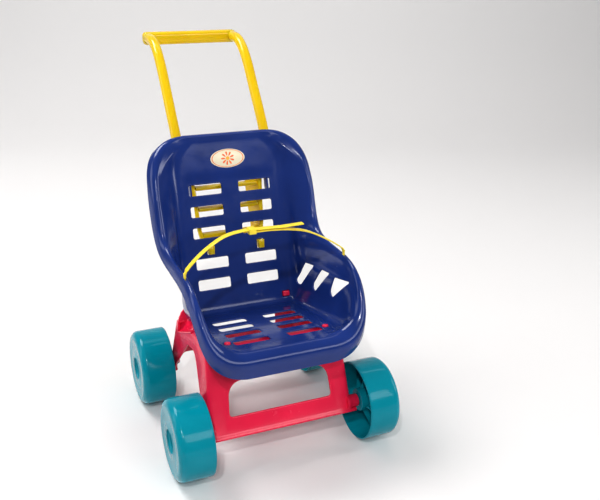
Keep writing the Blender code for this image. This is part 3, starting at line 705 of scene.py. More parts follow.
def seat_rows():
    """Floor (y, z, half width), crest, shoulder and edge from the top of the back to the lip."""
    def back(z, half):
        return (back_y(z), z, half)

    def pan(y, half):
        return (y, pan_z(y), half)

    rows = [
        (back(399.0, 52.0), (84, 136, 407), (90, 144, 408), (95, 147, 399)),
        (back(388.0, 71.0), (106, 123, 393), (113, 128, 394), (117, 134, 388)),
        (back(366.0, 78.0), (116, 103, 369), (123, 108, 368), (126, 119, 367)),
        (back(332.0, 79.0), (119, 84, 334), (126, 88, 333), (129, 104, 332)),
        (back(296.0, 80.0), (119, 72, 303), (126, 77, 300), (129, 91, 295)),
        (back(262.0, 81.0), (117, 59, 280), (125, 64, 275), (128, 72, 265)),
        (back(225.0, 83.0), (114, 40, 271), (122, 43, 268), (126, 46, 255)),
        (back(186.0, 85.0), (113, 20, 268), (121, 21, 266), (125, 21, 253)),
        (back(166.0, 86.0), (113, 8, 268), (121, 9, 266), (125, 9, 253)),
        ((64.8, 149.6, 86.5), (113, -2, 268), (121, -2, 266), (125, -2, 253)),
        (pan(49.0, 87.0), (113, -12, 268), (121, -12, 266), (125, -12, 253)),
        (pan(26.0, 88.0), (113, -26, 268), (121, -26, 266), (125, -26, 253)),
        (pan(-8.0, 89.0), (113, -45, 268.5), (121, -46, 266), (125, -45, 252)),
        (pan(-44.0, 90.0), (113, -68, 266), (121, -71, 263), (125, -68, 248)),
        (pan(-76.0, 89.0), (113, -92, 254), (121, -98, 248), (124, -91, 232)),
        (pan(-98.0, 86.0), (111, -110, 231), (118, -120, 222), (121, -110, 206)),
        (pan(-110.0, 79.0), (104, -122, 207), (110, -135, 196), (113, -125, 176)),
        (pan(-116.0, 62.0), (84, -128, 190), (89, -145, 180), (90, -136, 157)),
    ]
    first, second = rows[2], rows[3]
    rows[3:3] = [between(first, second, 0.44), between(first, second, 0.56)]
    return rows


def seat_top_rim(x):
    return (x * 1.35, 137, 409), (x * 1.4, 147, 410), (x * 1.42, 150, 401)


def seat_front_rim(x):
    return (x * 1.12, -128, 187.5), (x * 1.15, -146, 179), (x * 1.15, -138, 153)


def ramp_between(value, low, high):
    share = min(1.0, max(0.0, (value - low) / (high - low)))
    return share * share * (3 - 2 * share)


def wall_band(base, crest, side):
    """Points up the inner wall from floor to crest, with the arm's ledge where there is one."""
    rise = crest - base
    outward = Vector()
    share = 0.55
    weight = 0.0
    if side:
        outward = Vector((math.copysign(1.0, base.x), 0, 0))
        share = (LEDGE_Z - LEDGE_SLOPE * base.y - base.z) / (rise.z + LEDGE_SLOPE * rise.y)
        if 0.25 < share < 0.85:
            y = base.y + rise.y * share
            weight = ramp_between(y, *LEDGE_START) * ramp_between(-y, -LEDGE_END[1], -LEDGE_END[0])
        share = min(0.80, max(0.40, share))
    heel = base + rise * 0.14 + outward * 4.0
    shin = base + rise * (0.14 + share) / 2 + outward * 1.3
    low = base + rise * (share - 0.016)
    high = base + rise * (share + 0.012) + outward * (LEDGE_STEP * weight)
    upper = base + rise * (share + 0.45 * (1.0 - share)) + outward * (LEDGE_STEP * 0.75 * weight)
    return [heel, shin, low, high, upper, crest]


def seat_cage():
    rows = seat_rows()
    columns = len(COLUMNS)
    verts = []
    for (y, z, half), *_ in rows:
        for share in COLUMNS:
            point = Vector((share * half, y, z))
            if abs(share) < RECESS_SHARE and RECESS_LOW_Z < z < RECESS_HIGH_Z:
                point += BACK_AXIS * RECESS
            verts.append(tuple(point))
    faces = []
    for r in range(len(rows) - 1):
        for c in range(columns - 1):
            a = r * columns + c
            faces.append((a, a + 1, a + columns + 1, a + columns))
    last = len(rows) - 1
    loop = []
    for c in range(1, columns - 1):
        loop.append((c, seat_top_rim(COLUMNS[c] * rows[0][0][2]), False))
    loop += [(r * columns + columns - 1, rows[r][1:], True) for r in range(last + 1)]
    for c in range(columns - 2, 0, -1):
        loop.append((last * columns + c, seat_front_rim(COLUMNS[c] * rows[last][0][2]), False))
    for r in range(last, -1, -1):
        loop.append((r * columns, [(-x, y, z) for x, y, z in rows[r][1:]], True))
    bands = []
    for index, (crest, shoulder, edge), side in loop:
        base = Vector(verts[index])
        side_wall = side and abs(base.x) > SIDE_WALL_X
        bands.append(wall_band(base, Vector(crest), side_wall) + [Vector(shoulder), Vector(edge)])
    start = len(verts)
    depth = len(bands[0])
    for band in bands:
        verts += [tuple(point) for point in band]
    count = len(loop)
    for i in range(count):
        a = start + i * depth
        b = start + (i + 1) % count * depth
        faces.append((loop[i][0], loop[(i + 1) % count][0], b, a))
        for k in range(depth - 1):
            faces.append((a + k, b + k, b + k + 1, a + k + 1))
    return verts, faces


def slot_outlines():
    """Every opening of the right half of the seat: (points, direction to look along)."""
    found = []

    def flat(half_u, half_v, corner, steps, place, axis):
        outline = rounded_rect(half_u, half_v, corner, steps)
        found.append(([Vector(place(u, v, 0.0)) for u, v in outline], axis))

    middle = (SLOT_INNER_X + SLOT_OUTER_X) / 2
    half = (SLOT_OUTER_X - SLOT_INNER_X) / 2 + LIP
    for z in BACK_SLOT_Z:
        flat(half, BACK_SLOT_HEIGHT / 2 + LIP, BACK_SLOT_CORNER + LIP, 6,
             on_back(middle, z), BACK_AXIS)
    for y in PAN_SLOT_Y:
        flat(half, PAN_SLOT_LENGTH / 2 + LIP, PAN_SLOT_CORNER + LIP, 8,
             on_pan(middle, y), -PAN_AXIS)
    flat(TAB_WIDTH / 2 + TAB_PLAY + LIP, TAB_HEIGHT / 2 + TAB_PLAY + LIP, TAB_CORNER + LIP, 4,
         on_back(TAB_X, TAB_Z), BACK_AXIS)
    flat(PEG_HOLE[0], PEG_HOLE[1] + LIP, PEG_HOLE[2], 6, on_pan(PEG_HOLE_X, PEG_Y), -PAN_AXIS)
    flat(REAR_TAB_HALF[0] + TAB_PLAY + LIP, REAR_TAB_HALF[1] + TAB_PLAY + LIP, TAB_CORNER + LIP, 4,
         on_back(REAR_TAB_X, REAR_TAB_Z), BACK_AXIS)
    for rear, front, foot, radius in SIDE_SLOTS:
        outline = [(foot[0] + u, foot[1] + v) for u, v in circle(radius + LIP, 24)]
        for corner, inset in zip((rear, front), SIDE_SLOT_INSETS):
            outline += [(corner[0] + inset[0] + u, corner[1] + inset[1] + v)
                        for u, v in circle(SIDE_SLOT_CORNER + LIP, 12)]
        corners = hull_order([(round(y, 4), round(z, 4)) for y, z in outline])
        found.append(([Vector((0.0, y, z)) for y, z in corners], Vector((1, 0, 0))))
    return found


def anchor_outline():
    return [Vector((ANCHOR_X + u, BELT_Y + v, ANCHOR_Z + 9.0))
            for u, v in rounded_rect(ANCHOR_SLOT_X / 2, ANCHOR_SLOT_Y / 2, 2.4, 5)]


def boundary_loop(mesh):
    """The free edge of an open sheet as points and normals, in order."""
    shell = bmesh.new()
    shell.from_mesh(mesh)
    shell.normal_update()
    edge = next(edge for edge in shell.edges if edge.is_boundary)
    first, current = edge.verts
    line = [first]
    while current != first:
        line.append(current)
        edge = next(other for other in current.link_edges if other.is_boundary and other != edge)
        current = edge.other_vert(current)
    result = [(v.co.copy(), v.normal.copy()) for v in line]
    shell.free()
    return result


def lip_on(tree, outline, axis, wall, radius, step=2.0):
    """Bead round an opening, in the middle of a wall whose front face is the tree."""
    points = []
    normals = []
    for point in dense(outline, step):
        start = world(point) - axis * 0.03 if abs(axis.x) < 0.5 else world(point)
        hit, normal, _, _ = tree.ray_cast(start, axis, 0.3)
        if hit is None:
            return None
        if normal.dot(axis) > 0:
            normal = -normal
        points.append(drawn(hit - normal * (wall / 2 * MM)))
        normals.append(normal)
    return tube(points, normals, radius)


def build_seat():
    sheet = solid("seat_sheet", [seat_cage()], facing=(0, -1, 1))
    fine = sheet.modifiers.new("Smooth", "SUBSURF")
    fine.levels = SUBDIVISIONS
    fine.render_levels = SUBDIVISIONS
    bake(sheet)
    shell = bmesh.new()
    shell.from_mesh(sheet.data)
    tree = BVHTree.FromBMesh(shell)
    shell.free()
    rim = boundary_loop(sheet.data)
    thicken(sheet, SEAT_WALL)

    cutters = []
    lips = []
    for outline, axis in slot_outlines():
        cutters.append(extruded(outline, axis, *(SIDE_REACH if axis.x > 0.5 else FLAT_REACH)))
        lips.append(lip_on(tree, outline, axis, SEAT_WALL, SEAT_WALL / 2 + 0.14))
    slot = anchor_outline()
    cutters.append(extruded(slot, Vector((0, 0, 1)), *ANCHOR_REACH))
    above = [p + Vector((0, 0, 16.0)) for p in slot]
    lips.append(lip_on(tree, above, Vector((0, 0, -1)), SEAT_WALL, SEAT_WALL / 2 + 0.1, 1.2))
    smooth(cut(sheet, solid("seat_cuts", mirrored(cutters))), 50.0)

    rim_points = [drawn(p - n * (SEAT_WALL / 2 * MM)) for p, n in rim]
    rim_bead = tube(rim_points, [n for _, n in rim], SEAT_WALL / 2 + 0.25)
    bead = smooth(solid("seat_beads", mirrored([lip for lip in lips if lip]) + [rim_bead]), 60.0)

    plate = prism(rounded_rect(*GUIDE_HALF, 0.8, 2), on_back(GUIDE_X, BACK_SLOT_Z[0]),
                  SEAT_WALL - 0.4, GUIDE_DEPTH)
    guide = smooth(solid("seat_guides", mirrored([plate])))
    seat = join("seat_moulding", [sheet, bead, guide])
    settle(seat, SEAT_PLASTIC, "chassis", "seat_plastic", "seat_shell")


# ---- base

def base_top_z(y):
    return pan_z(y) - SEAT_WALL - BASE_TOP_GAP


def base_ring(z, out):
    """Plan outline of the base at height z, grown by out."""
    return [(x, y, z) for x, y in rounded_rect(side_x(z) + out, panel_y(z) + out, BASE_CORNER, 6)]


def carried(point, share, drop, inset):
    """A foot point carried up the leaning wall towards the sloping top."""
    x0, y0, _ = point
    top = base_top_z(y0)
    for _ in range(6):
        top = base_top_z(y0 * panel_y(top) / panel_y(BASE_BOTTOM_Z))
    z = BASE_BOTTOM_Z + (top - BASE_BOTTOM_Z) * share - drop
    x = x0 * (side_x(z) - inset) / BASE_BOTTOM_X
    return (x, y0 * (panel_y(z) - inset) / panel_y(BASE_BOTTOM_Z), z)


def window_outline(sign, window):
    """Rounded window of the front (-1) or rear (+1) panel, on its outer face."""
    middle_z, corners = window
    slope = Vector((0, -sign * PANEL_SLOPE, 1)).normalized()
    centre = Vector((0, sign * panel_y(middle_z), middle_z))
    outline = []
    for turn, (x, v, reach) in enumerate(corners):
        corner = Vector((x, v))
        ends = []
        for other in (corners[turn - 1], corners[(turn + 1) % len(corners)]):
            ends.append(corner + (Vector(other[:2]) - corner).normalized() * reach)
        for point in bend(ends[0], corner, ends[1], 8):
            outline.append(centre + Vector((point.x, 0, 0)) + slope * point.y)
    return outline, Vector((0, sign, PANEL_SLOPE)).normalized()


def rounded_path(points, radius):
    """An open path in the YZ plane with its inner corners rounded."""
    points = [Vector(p) for p in points]
    result = [points[0]]
    for before, here, after in zip(points, points[1:], points[2:]):
        to_before = before - here
        to_after = after - here
        reach = min(radius, to_before.length * 0.45, to_after.length * 0.45)
        result += bend(here + to_before.normalized() * reach, here,
                       here + to_after.normalized() * reach, 6)
    result.append(points[-1])
    return result


def wall_lip(path, side, radius):
    """Bead along a path given in (y, z) on a side wall."""
    points = [Vector((side * (side_x(p.y) - BASE_WALL / 2), p.x, p.y)) for p in path]
    return tube(points, [Vector((side, 0, 0.08))] * len(points), radius, closed=False)


def drop_shoulders(mesh):
    """Take away the side walls above the line that falls from the middle to the rear."""
    (y0, z0), (y1, z1) = SHOULDER_HIGH, SHOULDER_LOW
    slope = Vector((0, z0 - z1, y1 - y0)).normalized()
    start = world((0, y0, z0))
    shell = bmesh.new()
    shell.from_mesh(mesh)
    planes = [(start, slope)]
    planes += [(world((0, y, 0)), Vector((0, 1, 0))) for y in (y1, y0)]
    planes += [(world((x, 0, 0)), Vector((1, 0, 0))) for x in (SHOULDER_INNER_X, -SHOULDER_INNER_X)]
    for place, normal in planes:
        geometry = shell.verts[:] + shell.edges[:] + shell.faces[:]
        bmesh.ops.bisect_plane(shell, geom=geometry, dist=1e-7, plane_co=place, plane_no=normal)
    gone = []
    for face in shell.faces:
        middle = face.calc_center_median()
        x, y, _ = drawn(middle)
        if abs(x) > SHOULDER_INNER_X and y0 < y < y1 and (middle - start).dot(slope) > 0:
            gone.append(face)
    bmesh.ops.delete(shell, geom=gone, context="FACES")
    shell.to_mesh(mesh)
    shell.free()


def base_walls():
    """Shell with its windows, arches and top opening, and the beads on their edges."""
    foot = base_ring(BASE_BOTTOM_Z, 0.0)
    rings = [base_ring(BASE_BOTTOM_Z + rise, out) for rise, out in BASE_FLANGE]
    rings += [[carried(p, *row) for p in foot] for row in BASE_CROWN]
    verts, faces = loft(rings, closed_ends=False)
    faces.append(tuple(range(len(verts) - len(foot), len(verts))))
    base = solid("base_shell", [(verts, faces)], facing=(0, 0, 1))
    drop_shoulders(base.data)
    thicken(base, BASE_WALL)

    tools = []
    lips = []
    for sign, window in ((-1, FRONT_WINDOW), (1, REAR_WINDOW)):
        outline, axis = window_outline(sign, window)
        tools.append(extruded(outline, axis, *WINDOW_REACH))
        inner = [p - axis * (BASE_WALL / 2) for p in dense(outline, 3.0)]
        lips.append(tube(inner, [axis] * len(inner), BASE_WALL / 2 + 0.2))
    arch = rounded_path(SIDE_ARCH, ARCH_CORNER)
    tools.append(prism(arch, from_side, *ARCH_REACH))
    tools.append(prism(rounded_rect(*TOP_WINDOW, 6), from_above, *TOP_REACH))
    tools.append(prism(REAR_NOTCH, from_front, *NOTCH_REACH))
    smooth(cut(base, *[solid("base_cut", [tool]) for tool in tools]), 32.0)

    visible = [p for p in dense(arch, 4.0, closed=False) if p.y > BASE_BOTTOM_Z + 2.0]
    shoulder = dense([SHOULDER_HIGH, SHOULDER_LOW], 6.0, closed=False)
    for side in (-1, 1):
        lips.append(wall_lip(visible, side, BASE_WALL / 2 + 0.2))
        lips.append(wall_lip(shoulder, side, BASE_WALL / 2 + 0.3))
    return base, smooth(solid("base_beads", lips), 60.0)


def base_bosses():
    """A bored boss for each axle pin, and the shelf below it."""
    radius = BOSS_RADIUS
    profile = [(100.0, radius + 2.4), (104.5, radius + 1.6), (106.5, radius + 0.3), (109.0, radius),
               (BOSS_END_X - 1.0, radius), (BOSS_END_X, radius - 1.0),
               (BOSS_END_X, PIN_RADIUS + 0.1), (100.0, PIN_RADIUS + 0.1)]
    shelf = rounded_rect(8.0, 11.0, 2.5, 4)
    parts = []
    for side in (-1, 1):
        for y in (-HALF_BASE, HALF_BASE):
            parts.append(moved(turned(profile, 40, side), y, AXLE_Z))
            outline = [(side * (SHELF_X + u), y + v) for u, v in shelf]
            parts.append(prism(outline, from_above, BASE_BOTTOM_Z - 0.2, BASE_BOTTOM_Z + 2.8))
    return smooth(round_edges(solid("base_bosses", parts), 0.5))


def base_flanks():
    """Sloping panels from the dropped side walls in to the top opening."""
    lower = [(side_x(z) - 0.6, y, z) for y, z in (SHOULDER_HIGH, *FLANK_LOWER, SHOULDER_LOW)]
    upper = [(SHOULDER_INNER_X - 0.5, y, base_top_z(y) - 0.6) for y in FLANK_UPPER_Y]
    strip = []
    for a, b in zip(curve_through(lower + list(FLANK_LOWER_END), 4),
                    curve_through(upper + list(FLANK_UPPER_END), 4)):
        strip += [a, a.lerp(b, 0.5), b]
    quads = []
    for i in range(len(strip) // 3 - 1):
        quads += [(3 * i + k, 3 * i + k + 1, 3 * i + k + 4, 3 * i + k + 3) for k in (0, 1)]
    flanks = []
    for side in (-1, 1):
        sheet = [(side * p.x, p.y, p.z) for p in strip]
        flank = solid("base_flank", [(sheet, quads)], facing=(side, 0, 1))
        flanks.append(smooth(bake(thicken(flank, FLANK_WALL, even=False))))
    return flanks


def base_posts():
    """Front pegs and rear posts with their tabs."""
    peg_at = on_pan(PEG_X, PEG_Y)
    tab_at = on_back(REAR_TAB_X, REAR_TAB_Z)
    under = -SEAT_WALL - TOUCH_GAP
    behind = SEAT_WALL + TOUCH_GAP
    peg = stack(circle(PEG_RADIUS, 24), peg_at, ((1.0, under - 2.5), *PEG_DOME))
    tab = stack(rounded_rect(*REAR_TAB_HALF, TAB_CORNER, 4), tab_at,
                ((1.0, behind + 2.0), *REAR_TAB_TIP))
    parts = mirrored([loft(peg), loft(tab), prism(REAR_POST, tab_at, behind + 0.3, behind + 4.8),
                      prism(rounded_rect(8.0, 7.5, 2.0, 3), peg_at, under - 5.0, under - 1.0)])
    return smooth(round_edges(solid("base_posts", parts), 0.6))


def build_base():
    base, bead = base_walls()
    moulding = join("base_moulding", [base, bead, base_bosses(), base_posts()] + base_flanks())
    settle(moulding, BASE_PLASTIC, "chassis", "base_plastic", "base_frame")


# ---- wheels

def wheel_profile():
    """Half section of the wheel, from the tread's inner edge round to it again."""
    inner = WHEEL_INNER_X
    outer = WHEEL_OUTER_X
    radius = AXLE_Z
    shell = WHEEL_SHELL
    turn = (outer - SHOULDER, radius - SHOULDER)
    points = [(inner, radius - 1.6), (inner + 0.35, radius - 0.6), (inner + 1.2, radius - 0.05)]
    points += [(inner + 4.0, radius), (128.0, radius), (140.0, radius)]
    points += arc(turn, SHOULDER, 90, 4, 12)
    points += [(outer - 0.1, radius - 13.0), (outer - 0.9, radius - 22.0),
               (outer - 1.0, RECESS_RADIUS + 5.0), (outer - 0.4, RECESS_RADIUS + 3.2)]
    points += arc((outer - 1.6, RECESS_RADIUS + 1.6), 1.6, 50, 180, 6)[1:]
    points += [(outer - 4.0, RECESS_RADIUS), (RECESS_FLOOR_X + 1.0, RECESS_RADIUS),
               (RECESS_FLOOR_X, RECESS_RADIUS - 1.0)]
    points += [(RECESS_FLOOR_X, HUB_BORE), (HUB_INNER_X, HUB_BORE), (HUB_INNER_X, HUB_RADIUS - 0.8)]
    points += [(HUB_INNER_X + 0.8, HUB_RADIUS), (outer - shell - 3.0, HUB_RADIUS),
               (outer - shell - 1.0, HUB_RADIUS + 2.0)]
    points += arc(turn, SHOULDER - shell, 4, 90, 8)
    return points + [(inner + 1.0, radius - shell), (inner, radius - shell + 0.6)]


def build_wheel(name, side, axle):
    y = (axle.y - MIDDLE_Y) / MM
    cup = moved(turned(wheel_profile(), WHEEL_SIDES, side), y, axle.z / MM)
    wheel = smooth(solid(name, [cup], origin=axle), 38.0)
    ribs = []
    for number in range(RIB_COUNT):
        angle = math.radians(360 / RIB_COUNT * number + RIB_TURN)
        along = Vector((0, math.sin(angle), math.cos(angle)))
        across = Vector((0, math.cos(angle), -math.sin(angle)))
        outline = [Vector((side * x, y, AXLE_Z)) + along * r for r, x in RIB_OUTLINE]
        ribs.append(extruded(outline, across, -RIB_HALF, RIB_HALF))
    rib = smooth(round_edges(solid(name + "_ribs", ribs, origin=axle), 0.35))
    return join(name, [wheel, rib])


def build_pin(name, side, axle):
    head = RECESS_FLOOR_X + TOUCH_GAP
    wide = PIN_HEAD_RADIUS
    profile = [(96.0, PIN_RADIUS - 1.0), (97.5, PIN_RADIUS), (head - 0.4, PIN_RADIUS),
               (head, PIN_RADIUS + 0.4), (head, wide - 0.5), (head + 0.5, wide),
               (head + 2.2, wide - 0.1), (head + 3.2, wide - 1.0), (head + 3.9, wide - 3.0),
               (head + 4.3, wide - 6.0), (head + 4.45, 0.6)]
    pin = moved(turned(profile, 48, side, closed=False), (axle.y - MIDDLE_Y) / MM, axle.z / MM)
    return smooth(solid(name, [pin], origin=axle))


# ---- handle

def bar_ring(centre, width, depth, tangent, twist, radius):
    across = Vector((math.cos(twist), -math.sin(twist), 0.0))
    through = tangent.cross(across).normalized()
    outline = rounded_rect(width / 2, depth / 2, radius, 5)
    return [tuple(centre + across * u + through * v) for u, v in outline]


def handle_bar():
    """Right bar: fin behind the back, then a round-edged bar up to the grip."""
    stations = []
    for z, x, width, depth, twist in HANDLE_LEGS:
        y = back_y(z) + LEG_STANDOFF + depth / 2
        stations.append((x, y, z, width, depth, twist, min(width, depth) * 0.42))
    for x, y, z in HANDLE_BENDS:
        stations.append((x, y, z, BAR_WIDTH, BAR_DEPTH, 0.0, BAR_CORNER))
    fine = curve_through(stations, 6)
    rings = []
    for i, row in enumerate(fine):
        tangent = fine[min(i + 1, len(fine) - 1)] - fine[max(i - 1, 0)]
        tangent = Vector((0, tangent[1], tangent[2])).normalized()
        width, depth, twist, radius = row[3:]
        radius = min(radius, width * 0.47)
        rings.append(bar_ring(Vector(row[:3]), width, depth, tangent, twist, radius))
    tip = fine[-1]
    for step, size in BAR_TIP:
        centre = Vector((tip[0], tip[1] + step, tip[2]))
        rings.append(bar_ring(centre, BAR_WIDTH * size, BAR_DEPTH * size, Vector((0, 1, 0)), 0.0,
                              BAR_CORNER * size))
    return loft(rings)


def crossbar():
    outer = BAR_X + BAR_WIDTH / 2
    ends = [(outer + offset, size) for offset, size in GRIP_END]
    rings = []
    for x, size in [(-x, size) for x, size in ends] + [(0.0, GRIP_WAIST)] + ends[::-1]:
        outline = rounded_rect(GRIP_SIZE / 2 * size, GRIP_SIZE / 2 * size, GRIP_CORNER * size, 7)
        rings.append([(x, CROSSBAR_Y + u, CROSSBAR_Z + v) for u, v in outline])
    return loft(rings)


def build_handle():
    handle = smooth(solid("handle_bars", mirrored([handle_bar()]) + [crossbar()]), 50.0)
    place = on_back(TAB_X, TAB_Z)
    parts = [prism(HOOK_OUTLINE, place, -4.6, LEG_STANDOFF + 10.0)]
    for middle in HOOK_RIDGE_PLACES:
        parts.append(prism([(middle + u, v) for u, v in HOOK_RIDGE], place, -5.0, -4.0))
    tabs = smooth(round_edges(solid("handle_tabs", mirrored(parts)), 0.4))
    ribs = []
    for z, height, depth, half_x in HANDLE_RIBS:
        y = back_y(z) + LEG_STANDOFF + 2.0 + depth / 2
        outline = [(y + u, z + v) for u, v in rounded_rect(depth / 2, height / 2, 1.2, 3)]
        ribs.append(prism(outline, from_side, -half_x, half_x))
    rib = smooth(solid("handle_ribs", ribs))
    moulding = join("handle_moulding", [handle, tabs, rib])
    settle(moulding, HANDLE_PLASTIC, "chassis", "handle_plastic", "push_handle")


# ---- belt

def strap_section(lift):
    """Flat oval section whose upper face rises by lift."""
    points = []
    for u, v in rounded_rect(BELT_WIDTH / 2, STRAP_THICK / 2, STRAP_THICK * 0.42, 3):
        rise = lift if v > STRAP_THICK * 0.3 and abs(u) < BELT_WIDTH / 2 - 1.0 else 0.0
        points.append((u, v + rise))
    return points


def flat_strap(route, ridges):
    """Strap along a route in XZ, with cross ridges of the height asked for."""
    path = curve_through(route, 16)
    length = 0.0
    rings = []
    for i, point in enumerate(path):
        if i:
            length += (point - path[i - 1]).length
        tangent = (path[min(i + 1, len(path) - 1)] - path[max(i - 1, 0)]).normalized()
        normal = Vector((-tangent[1], tangent[0]))
        if normal[1] < 0:
            normal = -normal
        lift = ridges * (0.5 + 0.5 * math.cos(2 * math.pi * length / RIDGE_PITCH))
        rings.append([(point[0] + normal[0] * v, BELT_Y + u, point[1] + normal[1] * v)
                      for u, v in strap_section(lift)])
    return loft(rings)


def anchor_end(side):
    """Ball and neck below a strap's foot."""
    foot = Vector((side * ANCHOR_X, BELT_Y, ANCHOR_Z))
    levels = []
    for step in range(1, 9):
        angle = math.radians(-90 + 18 * step)
        levels.append((BALL_RADIUS * math.sin(angle), BALL_RADIUS * math.cos(angle)))
    levels += [(4.2, NECK / 2), (12.5, NECK / 2), (15.5, NECK / 2 + 0.2)]
    return loft([[(foot.x + u * radius, foot.y + v * radius, foot.z + z)
                  for u, v in circle(1.0, 16, math.pi / 16)] for z, radius in levels])


def root_collar(side, route):
    """Flare from the neck to the strap's full width."""
    x, z = route[0]
    neck = Vector((side * ANCHOR_X, BELT_Y, ANCHOR_Z + 12.5))
    root = Vector((x, BELT_Y, z + 0.6))
    rings = []
    for share, half_y, half_x in ((0.0, NECK / 2, NECK / 2), (0.35, 2.6, NECK / 2 - 0.2),
                                  (0.7, 3.8, 1.3), (1.0, BELT_WIDTH / 2 - 0.4, 1.0)):
        centre = neck.lerp(root, share)
        rings.append([(centre.x + v * half_x * 2, centre.y + u * half_y * 2, centre.z)
                      for u, v in rounded_rect(0.5, 0.5, 0.4, 3)])
    return loft(rings)


def build_belt():
    anchor = Vector((0, JOINTS["belt_swing"].y, JOINTS["belt_swing"].z))

    def strap(name, side, route, ridges):
        parts = [flat_strap(route, ridges), anchor_end(side), root_collar(side, route)]
        return smooth(solid(name, parts, origin=anchor), 50.0)
    tongue = strap("belt_tongue_strap", -1, TONGUE_ROUTE, RIDGE_HEIGHT)
    settle(tongue, BELT_PLASTIC, "belt", "belt_plastic", "belt_tongue")

    low, high = BUCKLE_X
    block = [(BELT_Y + u, BUCKLE_Z + v) for u, v in rounded_rect(6.9, 4.0, 1.6, 5)]
    hole = [(BELT_Y + u, BUCKLE_Z + (v + 1.4)) for u, v in rounded_rect(5.1, 1.6, 0.5, 3)]
    loop = solid("buckle_block", [prism(block, from_side, low, high)])
    cut(loop, solid("buckle_hole", [prism(hole, from_side, low - 8.0, high + 8.0)]))
    smooth(round_edges(loop, 0.5))
    buckle = join("belt_buckle_strap", [strap("belt_buckle_strap", 1, BUCKLE_ROUTE, 0.0), loop])
    settle(buckle, BELT_PLASTIC, "belt", "belt_plastic", "belt_buckle")


# ---- label

def build_label():
    """Plain oval film with a generic flower."""
    place = on_plane(Vector((0, back_y(LABEL_Z), LABEL_Z)), BACK_UP, -BACK_AXIS)
    oval = [(u * LABEL_WIDTH / 2, v * LABEL_HEIGHT / 2) for u, v in circle(1.0, 72)]
    film = loft(stack(oval, place, ((1.0, 0.3), (1.0, 0.75), (0.985, 0.9))))
    film = smooth(solid("label_oval", [film]))
    settle(film, LABEL_FILM, "chassis", "label_film", "back_label")

    low, high = LABEL_FACE, LABEL_FACE + 0.1
    border = ((0.93, low), (0.93, high), (0.885, high), (0.885, low))
    petals = [ring_loft(stack(oval, place, border))]
    for number in range(PETALS):
        angle = 2 * math.pi * number / PETALS + PETAL_TURN
        outline = []
        for u, v in circle(1.0, 20):
            along = 6.9 + u * 3.5
            across = v * (1.25 + 0.55 * u)
            outline.append((along * math.cos(angle) - across * math.sin(angle),
                            along * math.sin(angle) + across * math.cos(angle)))
        petals.append(prism(outline, place, LABEL_FACE, 1.0))
    ink = smooth(solid("label_petals", petals))
    settle(ink, LABEL_INK, "chassis", "label_film")
    heart = smooth(solid("label_heart", [prism(circle(2.9, 32), place, LABEL_FACE, 1.03)]))
    settle(heart, LABEL_GOLD, "chassis", "label_film")


# ---- studio

def sweep_paper():
    paper = bpy.data.materials.new("sweep_paper")
    paper.use_nodes = True
    tree = paper.node_tree
    colour = linear(232, 230, 229)
    shader = put(tree.nodes["Principled BSDF"], {"Roughness": 0.33, "Specular IOR Level": 0.42})
    texture = put(tree.nodes.new("ShaderNodeTexNoise"), {"Scale": 3.0})
    stops = ((0.0, [c * 0.985 for c in colour]), (1.0, colour))
    tint = colour_ramp(tree, texture.outputs["Fac"], stops)
    tree.links.new(tint, shader.inputs["Base Color"])
    return paper


def sweep_floor():
    """Pale floor that curves up into a backdrop."""
    profile = [(FLOOR_FRONT, 0.0), (FLOOR_BACK, 0.0)]
    for degrees in range(10, 91, 10):
        angle = math.radians(degrees)
        profile.append((FLOOR_BACK + SWEEP_RADIUS * math.sin(angle),
                        SWEEP_RADIUS - SWEEP_RADIUS * math.cos(angle)))
    profile.append((FLOOR_BACK + SWEEP_RADIUS, SWEEP_TOP))
    verts = []
    for y, z in profile:
        verts += [(-FLOOR_HALF, y, z), (FLOOR_HALF, y, z)]
    faces = [(a, a + 1, a + 3, a + 2) for a in range(0, len(verts) - 2, 2)]
    mesh = bpy.data.meshes.new("sweep")
    mesh.from_pydata(verts, [], faces)
    floor = new_object("studio_sweep", mesh)
    mesh.shade_smooth()
    mesh.materials.append(sweep_paper())
    floor.rotation_euler = (0, 0, math.radians(FLOOR_TURN))


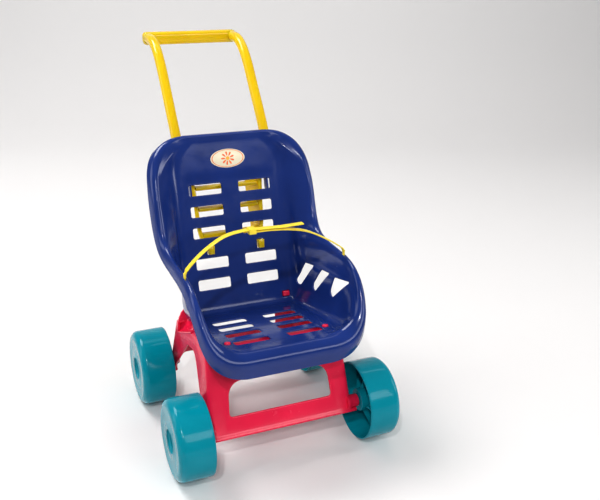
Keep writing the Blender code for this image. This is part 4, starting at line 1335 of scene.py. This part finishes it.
def area_light(name, place, target, size, energy, shape):
    lamp = bpy.data.lights.new(name, "AREA")
    lamp.shape = shape
    lamp.size, lamp.size_y = size
    lamp.energy = energy
    item = new_object(name, lamp, place)
    aim = Vector(target) - Vector(place)
    item.rotation_euler = aim.to_track_quat("-Z", "Y").to_euler()


def build_sky():
    """World that is grey near the floor and pale overhead."""
    sky = bpy.data.worlds.new("studio_sky")
    bpy.context.scene.world = sky
    sky.use_nodes = True
    tree = sky.node_tree
    back = put(tree.nodes["Background"], {"Strength": 0.32})
    place = tree.nodes.new("ShaderNodeTexCoord")
    split = tree.nodes.new("ShaderNodeSeparateXYZ")
    shift = put(tree.nodes.new("ShaderNodeMapRange"), {"From Min": -1.0, "From Max": 1.0})
    tree.links.new(place.outputs["Generated"], split.inputs[0])
    tree.links.new(split.outputs["Z"], shift.inputs["Value"])
    stops = ((0.30, (0.50, 0.50, 0.51)), (0.95, (0.86, 0.88, 0.90)))
    tree.links.new(colour_ramp(tree, shift.outputs["Result"], stops), back.inputs["Color"])


def build_studio():
    sweep_floor()
    for light in LIGHTS:
        area_light(*light)
    build_sky()
    view = bpy.context.scene.view_settings
    view.view_transform = "Standard"
    view.look = "None"
    view.exposure = 0.12
    view.gamma = 0.86


def build_camera():
    data = bpy.data.cameras.new("camera")
    data.lens = CAMERA_LENS
    data.sensor_width = 36.0
    camera = new_object("camera", data, CAMERA_PLACE)
    camera.rotation_euler = Euler([math.radians(a) for a in CAMERA_TURN], "XYZ")
    bpy.context.scene.camera = camera


# ---- assembly

build_camera()
build_studio()
build_seat()
build_base()
for end, axle in (("front", FRONT_AXLE), ("rear", REAR_AXLE)):
    for side, side_name in ((-1, "left"), (1, "right")):
        centre = Vector((0, axle.y, axle.z))
        tail = "%s_%s" % (end, side_name)
        settle(build_wheel("wheel_cup_" + tail, side, centre), WHEEL_PLASTIC,
               "wheel_body_" + tail, "wheel_plastic", "wheel_" + tail)
        settle(build_pin("pin_" + tail, side, centre), AXLE_PLASTIC,
               "chassis", "axle_plastic", "axle_pin_" + tail)
build_handle()
build_belt()
build_label()
